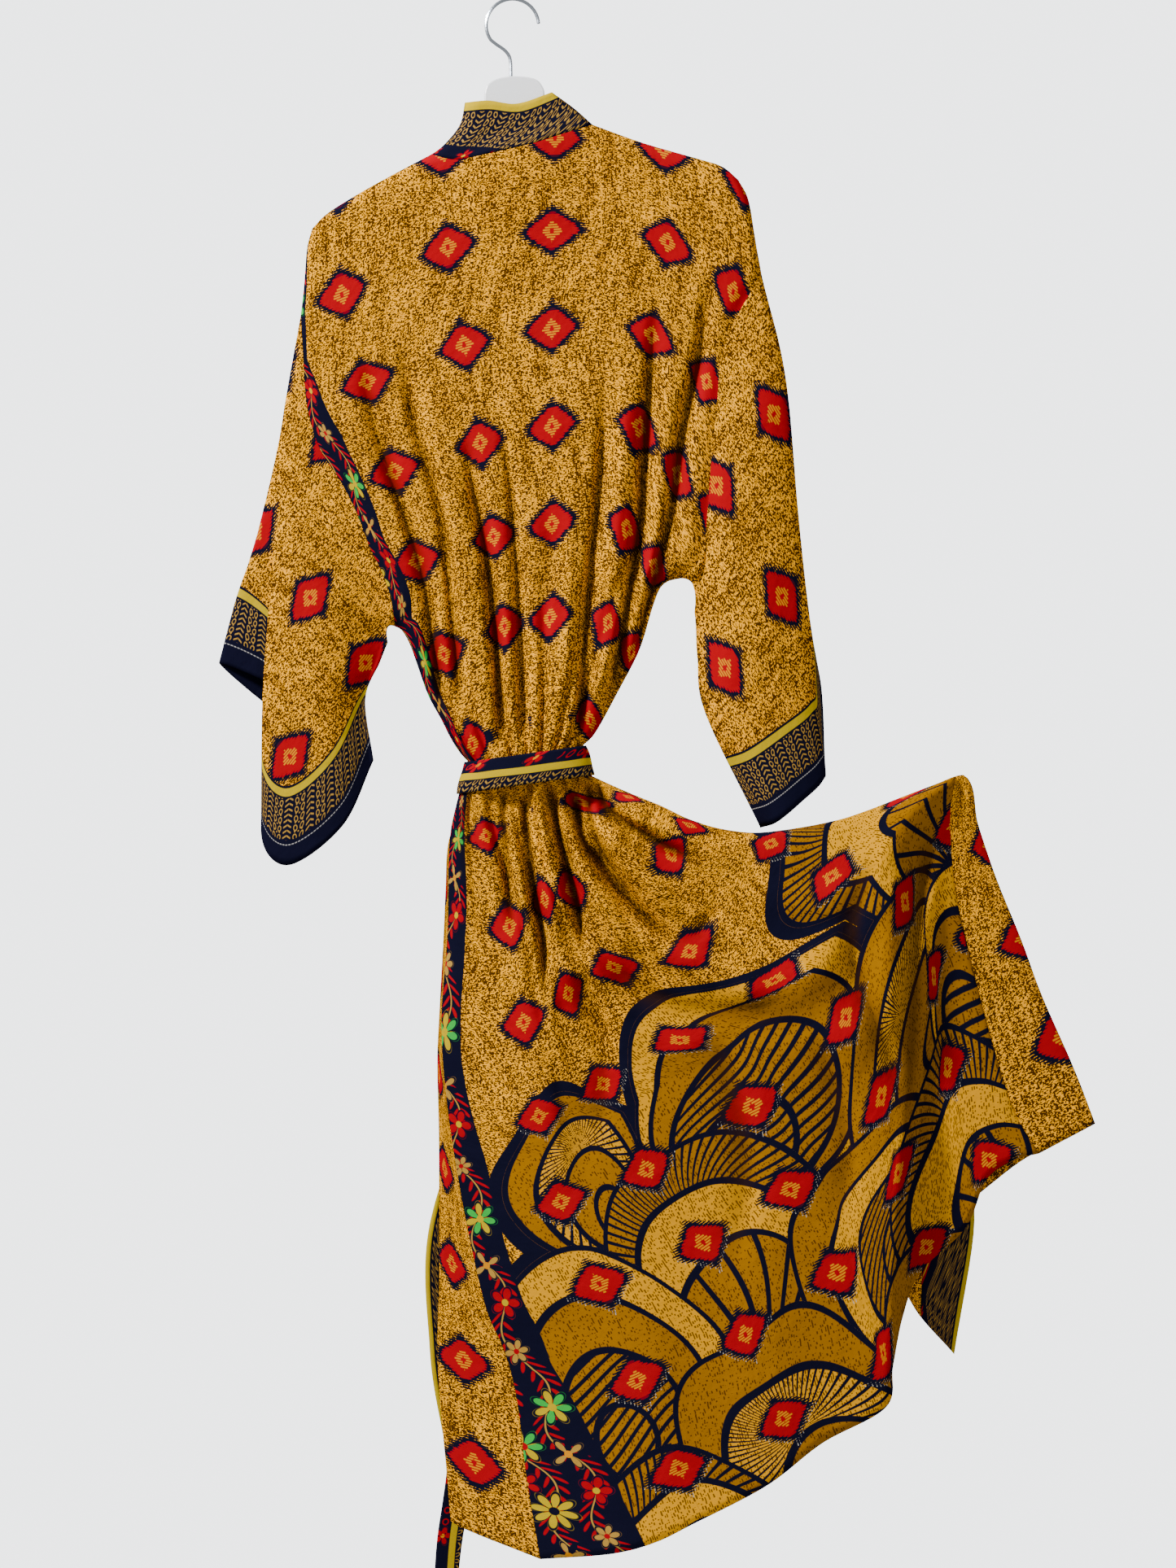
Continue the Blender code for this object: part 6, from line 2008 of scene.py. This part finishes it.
@dataclass(frozen=True)
class Sleeve:
    """A sleeve: a tube from the armhole seam to the cuff."""

    side: Side
    rows: tuple
    arch: Pair
    print_grain: PrintGrain
    cut: Pair = (0.62, 0.48)
    underside_rounding: float = 2.2
    seam_share: float = 0.25
    arch_share: float = 0.28
    arch_width: float = 25.0
    marks: tuple = (1.0, 0.70, 0.41, 0.10, 0.0, -0.10, -0.41, -0.70, -1.0)

    def rings(self, back: Array, front: Array) -> Array:
        """The sleeve as rings: smooth both round the given points and from one ring to the next.

        Args:
            back: The back's grid.
            front: The front's grid.

        Returns:
            Rings from the armhole to the cuff, each from the underarm round the back's side.
        """
        near, far_side = back[ARMHOLE, OUTLINES[self.side].column], front[ARMHOLE, 0]
        seam_ring = np.concatenate([near[::-1], far_side[1:]])
        shares, marks = np.array(ARMHOLE_ROWS), np.array(self.marks)
        places = np.concatenate([shares[::-1], -shares[1:]])
        start = seam_ring[np.abs(places[None] - marks[:, None]).argmin(1)]
        points = [start] + [row[1:] + (row.under,) for row in self.rows]
        controls = spline_rows([0.0] + [row.along for row in self.rows], points, SLEEVE_RINGS)
        keys = np.interp(places, marks[::-1], np.arange(len(marks))[::-1])
        rings = spline_rows(np.arange(len(marks)), controls.transpose(1, 0, 2), keys).transpose(1, 0, 2)
        run = np.array(SLEEVE_RINGS)[:, None]
        rings = rings + (1 - ease(run / self.seam_share))[..., None] * (seam_ring - rings[0])[None]
        arch = np.clip(run / self.arch_share, 0, 1)
        bow = 4 * arch * (1 - arch) * np.array(self.arch)
        near_under = np.clip(1 - np.linalg.norm(seam_ring - seam_ring[0], axis=1) / self.arch_width, 0, 1)
        rings[..., [0, 2]] += bow[:, None] * near_under[None, :, None]
        rings[:, 0, 1] -= self.underside_rounding * ease(run[:, 0] / 0.1)
        rings[:, -1, 1] += self.underside_rounding * ease(run[:, 0] / 0.1)
        return np.concatenate([rings, rings[:, :1]], axis=1)

    def build(self, back: Array, front: Array) -> None:
        """Hangs the sleeve with its printed cuff."""
        name, grid = self.side.value, self.rings(back, front)
        run = lengths(grid, 0)
        round_it = lengths(grid, 1)[-20:].mean(axis=0)[None]
        piece = ClothPiece("sleeve_" + name, self.cut, "cloth_back", closed=True)
        cloth = PrintedCloth(cuff=True).material("sleeve_cloth_" + name)
        piece.hang(grid, cloth, self.print_grain.flat(grid), {"hem": run[-1:] - run, "round": round_it})


@dataclass(frozen=True)
class Sash:
    """The sash: the loop round the waist, the knot in front and its two tails."""

    waist: Waist
    cloth_gap: float = 2.1
    roll: float = 0.9
    waver: float = 0.35
    curl: float = 1.6
    width: float = 30.0
    thickness: float = 1.4
    knot_fill: float = 0.98
    knot_pressed: float = 1.9
    tucked_in: float = 6.0

    def piece(self, name: str, cut: Pair, rests_on: str, held: str) -> ClothPiece:
        """A piece of the sash's cloth."""
        return ClothPiece(name, cut, rests_on, "navy_band", held, self.thickness, closed=name == "sash")

    def loop(self, material: bpy.types.Material) -> None:
        """The loop: lines round the waist, a little rolled out at its middle and wavy round it."""
        turns = np.linspace(0.0, 2.0 * np.pi, 241)
        rows = []
        for height in np.linspace(self.width / 2, -self.width / 2, 13):
            roll = self.roll * (1 - (2 * height / self.width) ** 2)
            roll = roll + self.waver * np.sin(turns * 9 + height * 0.25)
            rows.append(self.waist.loop(height, turns, self.cloth_gap + roll))
        grid = np.array(rows)
        around = lengths(grid, 1)
        piece = self.piece("sash", (float(around[6, -1]) * MM, 0.031), "cloth_back", "gathered")
        piece.hang(grid, material, np.stack([around, lengths(grid, 0)], -1))

    def tail(self, name: str, path: tuple, material: bpy.types.Material) -> None:
        """One tail: the sash's width carried down a curve from inside the knot, turned and curled on the way.

        Args:
            name: The tail's node.
            path: Its middle line.
            material: Its cloth.
        """
        shares = np.linspace(0.0, 1.0, 150)
        x, y, z = path[0]
        centre = along(((x, y, z + self.tucked_in),) + path, shares)
        turn = reading(TAIL_TURN, shares)[:, None]
        across = np.linspace(-1.0, 1.0, 13)[None] * self.width / 2
        curl = self.curl * (across / self.width * 2) ** 2 * np.sin(shares[:, None] * 7.0)
        across_x, across_y = across * np.cos(turn), across * np.sin(turn) * 0.5 + curl
        grid = centre[:, None] + np.stack([across_x, across_y, np.zeros(curl.shape)], -1)
        down = lengths(grid, 0)
        piece = self.piece(name, (0.031, float(down[-1, 6]) * MM), "cloth_sash_knot", "hung")
        piece.hang(grid, material, np.stack([down, lengths(grid, 1)], -1))

    def knot(self, material: bpy.types.Material) -> None:
        """The knot: a padded lump, drawn in at its middle and ribbed where the cloth goes round."""
        round_it, along_it = np.meshgrid(np.linspace(0, 2 * np.pi, 73), np.linspace(-1.0, 1.0, 41))
        end = (1 - along_it ** 4) ** 0.5
        rib = 0.97 + 0.03 * np.cos(7 * round_it + 5 * along_it)
        waisted = 0.94 + 0.06 * np.clip(2.0 * np.abs(along_it), 0, 1)
        swell = np.stack([along_it, end * rib * np.cos(round_it), end * rib * waisted * np.sin(round_it)], -1)
        grid = np.array(KNOT_CENTRE) + swell * np.array(KNOT_SIZE) * (self.knot_fill / 2)
        grid[..., 1] -= self.knot_pressed
        flat = np.stack([round_it * 14.0, (along_it + 1) * 15.0], -1)
        mesh = grid_mesh("cloth_sash_knot", grid, flat, {}, True)
        worn(mesh, material, "sash_knot", "navy_band")

    def build(self) -> None:
        """Hangs the loop, both tails and the knot."""
        material = SashCloth().material("sash_cloth")
        self.loop(material)
        self.tail("sash_tail_long", LONG_TAIL, material)
        self.tail("sash_tail_short", SHORT_TAIL, material)
        self.knot(material)


@dataclass(frozen=True)
class SolidFinish:
    """A plain hard finish with a faint ripple."""

    colour: Ink
    roughness: float
    metallic: float
    ripple: float
    grain: float = 220.0
    patchiness: float = 0.16

    def material(self, name: str) -> bpy.types.Material:
        """The finish as a material that reads Object coordinates."""
        material = bpy.data.materials.new("finish_" + name)
        material.use_nodes = True
        tree = material.node_tree
        place = new_node(tree, "TexCoord", {}).outputs["Object"]
        grain = Shade(new_node(tree, "TexNoise", {"Vector": place, "Scale": self.grain}).outputs["Fac"])
        bump = new_node(tree, "Bump", {"Distance": self.ripple * MM, "Height": grain})
        fill(tree.nodes["Principled BSDF"], {
            "Base Color": (*self.colour, 1.0), "Metallic": self.metallic, "Normal": bump.outputs[0],
            "Roughness": (grain - 0.5) * self.patchiness + self.roughness})
        return material


@dataclass(frozen=True)
class Hanger:
    """The hanger that carries the garment: moulded plastic with a plated wire hook."""

    plastic: SolidFinish = SolidFinish((0.81, 0.82, 0.84), 0.32, 0.0, 0.10)
    wire: SolidFinish = SolidFinish((0.56, 0.62, 0.70), 0.22, 1.0, 0.03)

    def dress(self, nodes: dict) -> None:
        """Gives the hanger's own solids their finishes."""
        for name, finish in (("hanger_body", self.plastic), ("hanger_hook", self.wire)):
            materials = nodes[name].data.materials
            materials.clear()
            materials.append(finish.material(name))
            LOG.info("%s: dressed", name)


class Lamp(NamedTuple):
    """A square lamp that faces the garment."""

    name: str
    place: Point
    size: float
    power: float


@dataclass(frozen=True)
class Studio:
    """The camera, the lamps, the pale wall all round and the floor."""

    view_angle: float = 42.1
    aim: Point = (0.05, 0.0, -0.75)
    room_light: float = 0.42
    room_colour: Ink = (1.0, 0.98, 0.95)
    wall_glow: float = 3.6
    wall_colour: Ink = (0.93, 0.95, 0.97)
    lamps: tuple = (
        Lamp("key", (-2.3, -1.7, 1.7), 0.5, 360.0),
        Lamp("fill", (2.2, -1.8, -0.2), 1.4, 22.0),
        Lamp("far_side", (0.9, 2.6, 0.6), 1.2, 110.0),
    )
    floor_radius: float = 0.5
    floor_height: float = -1.75
    floor_colour: Ink = (0.75, 0.75, 0.74)

    def camera(self) -> None:
        """The camera, level and square to the hanger's plane."""
        lens = bpy.data.cameras.new("camera")
        lens.sensor_fit = "VERTICAL"
        lens.angle = np.radians(self.view_angle)
        camera = placed("camera", lens)
        camera.location = EYE * MM
        camera.rotation_euler = (np.pi / 2, 0.0, 0.0)
        bpy.context.scene.camera = camera

    def room(self) -> None:
        """The world: a soft light, which the camera sees as a bright wall."""
        world = bpy.data.worlds.new("room")
        world.use_nodes = True
        tree = world.node_tree
        light = fill(tree.nodes["Background"], {0: (*self.room_colour, 1.0), "Strength": self.room_light})
        wall = new_node(tree, "Background", {0: (*self.wall_colour, 1.0), "Strength": self.wall_glow})
        seen = new_node(tree, "LightPath", {}).outputs["Is Camera Ray"]
        both = new_node(tree, "MixShader", {0: seen, 1: light.outputs[0], 2: wall.outputs[0]})
        fill(tree.nodes["World Output"], {0: both.outputs[0]})
        bpy.context.scene.world = world

    def floor(self) -> None:
        """The floor disc that stands for the room."""
        disc = bpy.data.meshes.new("floor")
        turns = np.linspace(0.0, 2.0 * np.pi, 64, endpoint=False)
        ring = np.stack([np.cos(turns), np.sin(turns), np.zeros(64)], -1) * self.floor_radius
        disc.from_pydata((ring + (0.0, 0.0, self.floor_height)).tolist(), [], [tuple(range(64))])
        pale = bpy.data.materials.new("pale_floor")
        pale.use_nodes = True
        fill(pale.node_tree.nodes["Principled BSDF"], {"Base Color": (*self.floor_colour, 1.0)})
        disc.materials.append(pale)
        floor = placed("floor", disc)

    def build(self) -> None:
        """Sets up the camera, the room, the lamps and the floor."""
        self.camera()
        self.room()
        for lamp in self.lamps:
            light = bpy.data.lights.new(lamp.name, "AREA")
            light.energy, light.size = lamp.power, lamp.size
            item = placed(lamp.name, light)
            item.location = lamp.place
            way = np.array(self.aim) - lamp.place
            yaw, pitch = np.arctan2(way[0], way[1]), np.arctan2(way[2], np.hypot(way[0], way[1]))
            item.rotation_euler = (np.pi / 2 + pitch, 0.0, -yaw)
        self.floor()


def main() -> None:
    """Builds the garment round the frame."""
    logging.basicConfig(level=logging.INFO)
    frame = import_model()
    Hanger().dress(frame["nodes"])
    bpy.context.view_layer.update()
    Studio().build()
    body = Body()
    back = BackPanel(body)
    back.build()
    Collar(body, back).build()
    left = Front(body, Side.LEFT, FRONT_LEFT_ROWS, (48.0, 47.0))
    right = Front(body, Side.RIGHT, FRONT_RIGHT_ROWS, (60.0, 54.0))
    left.build()
    right.build()
    Sleeve(Side.LEFT, SLEEVE_LEFT_ROWS, SLEEVE_ARCH_LEFT,
           PrintGrain((-197, -586), (-74, -92), (54, -64))).build(back.grid, left.grid)
    Sleeve(Side.RIGHT, SLEEVE_RIGHT_ROWS, SLEEVE_ARCH_RIGHT,
           PrintGrain((258, -406), (64, -109), (-56, -70))).build(back.grid, right.grid)
    Sash(body.waist).build()


if __name__ == "__main__":
    main()
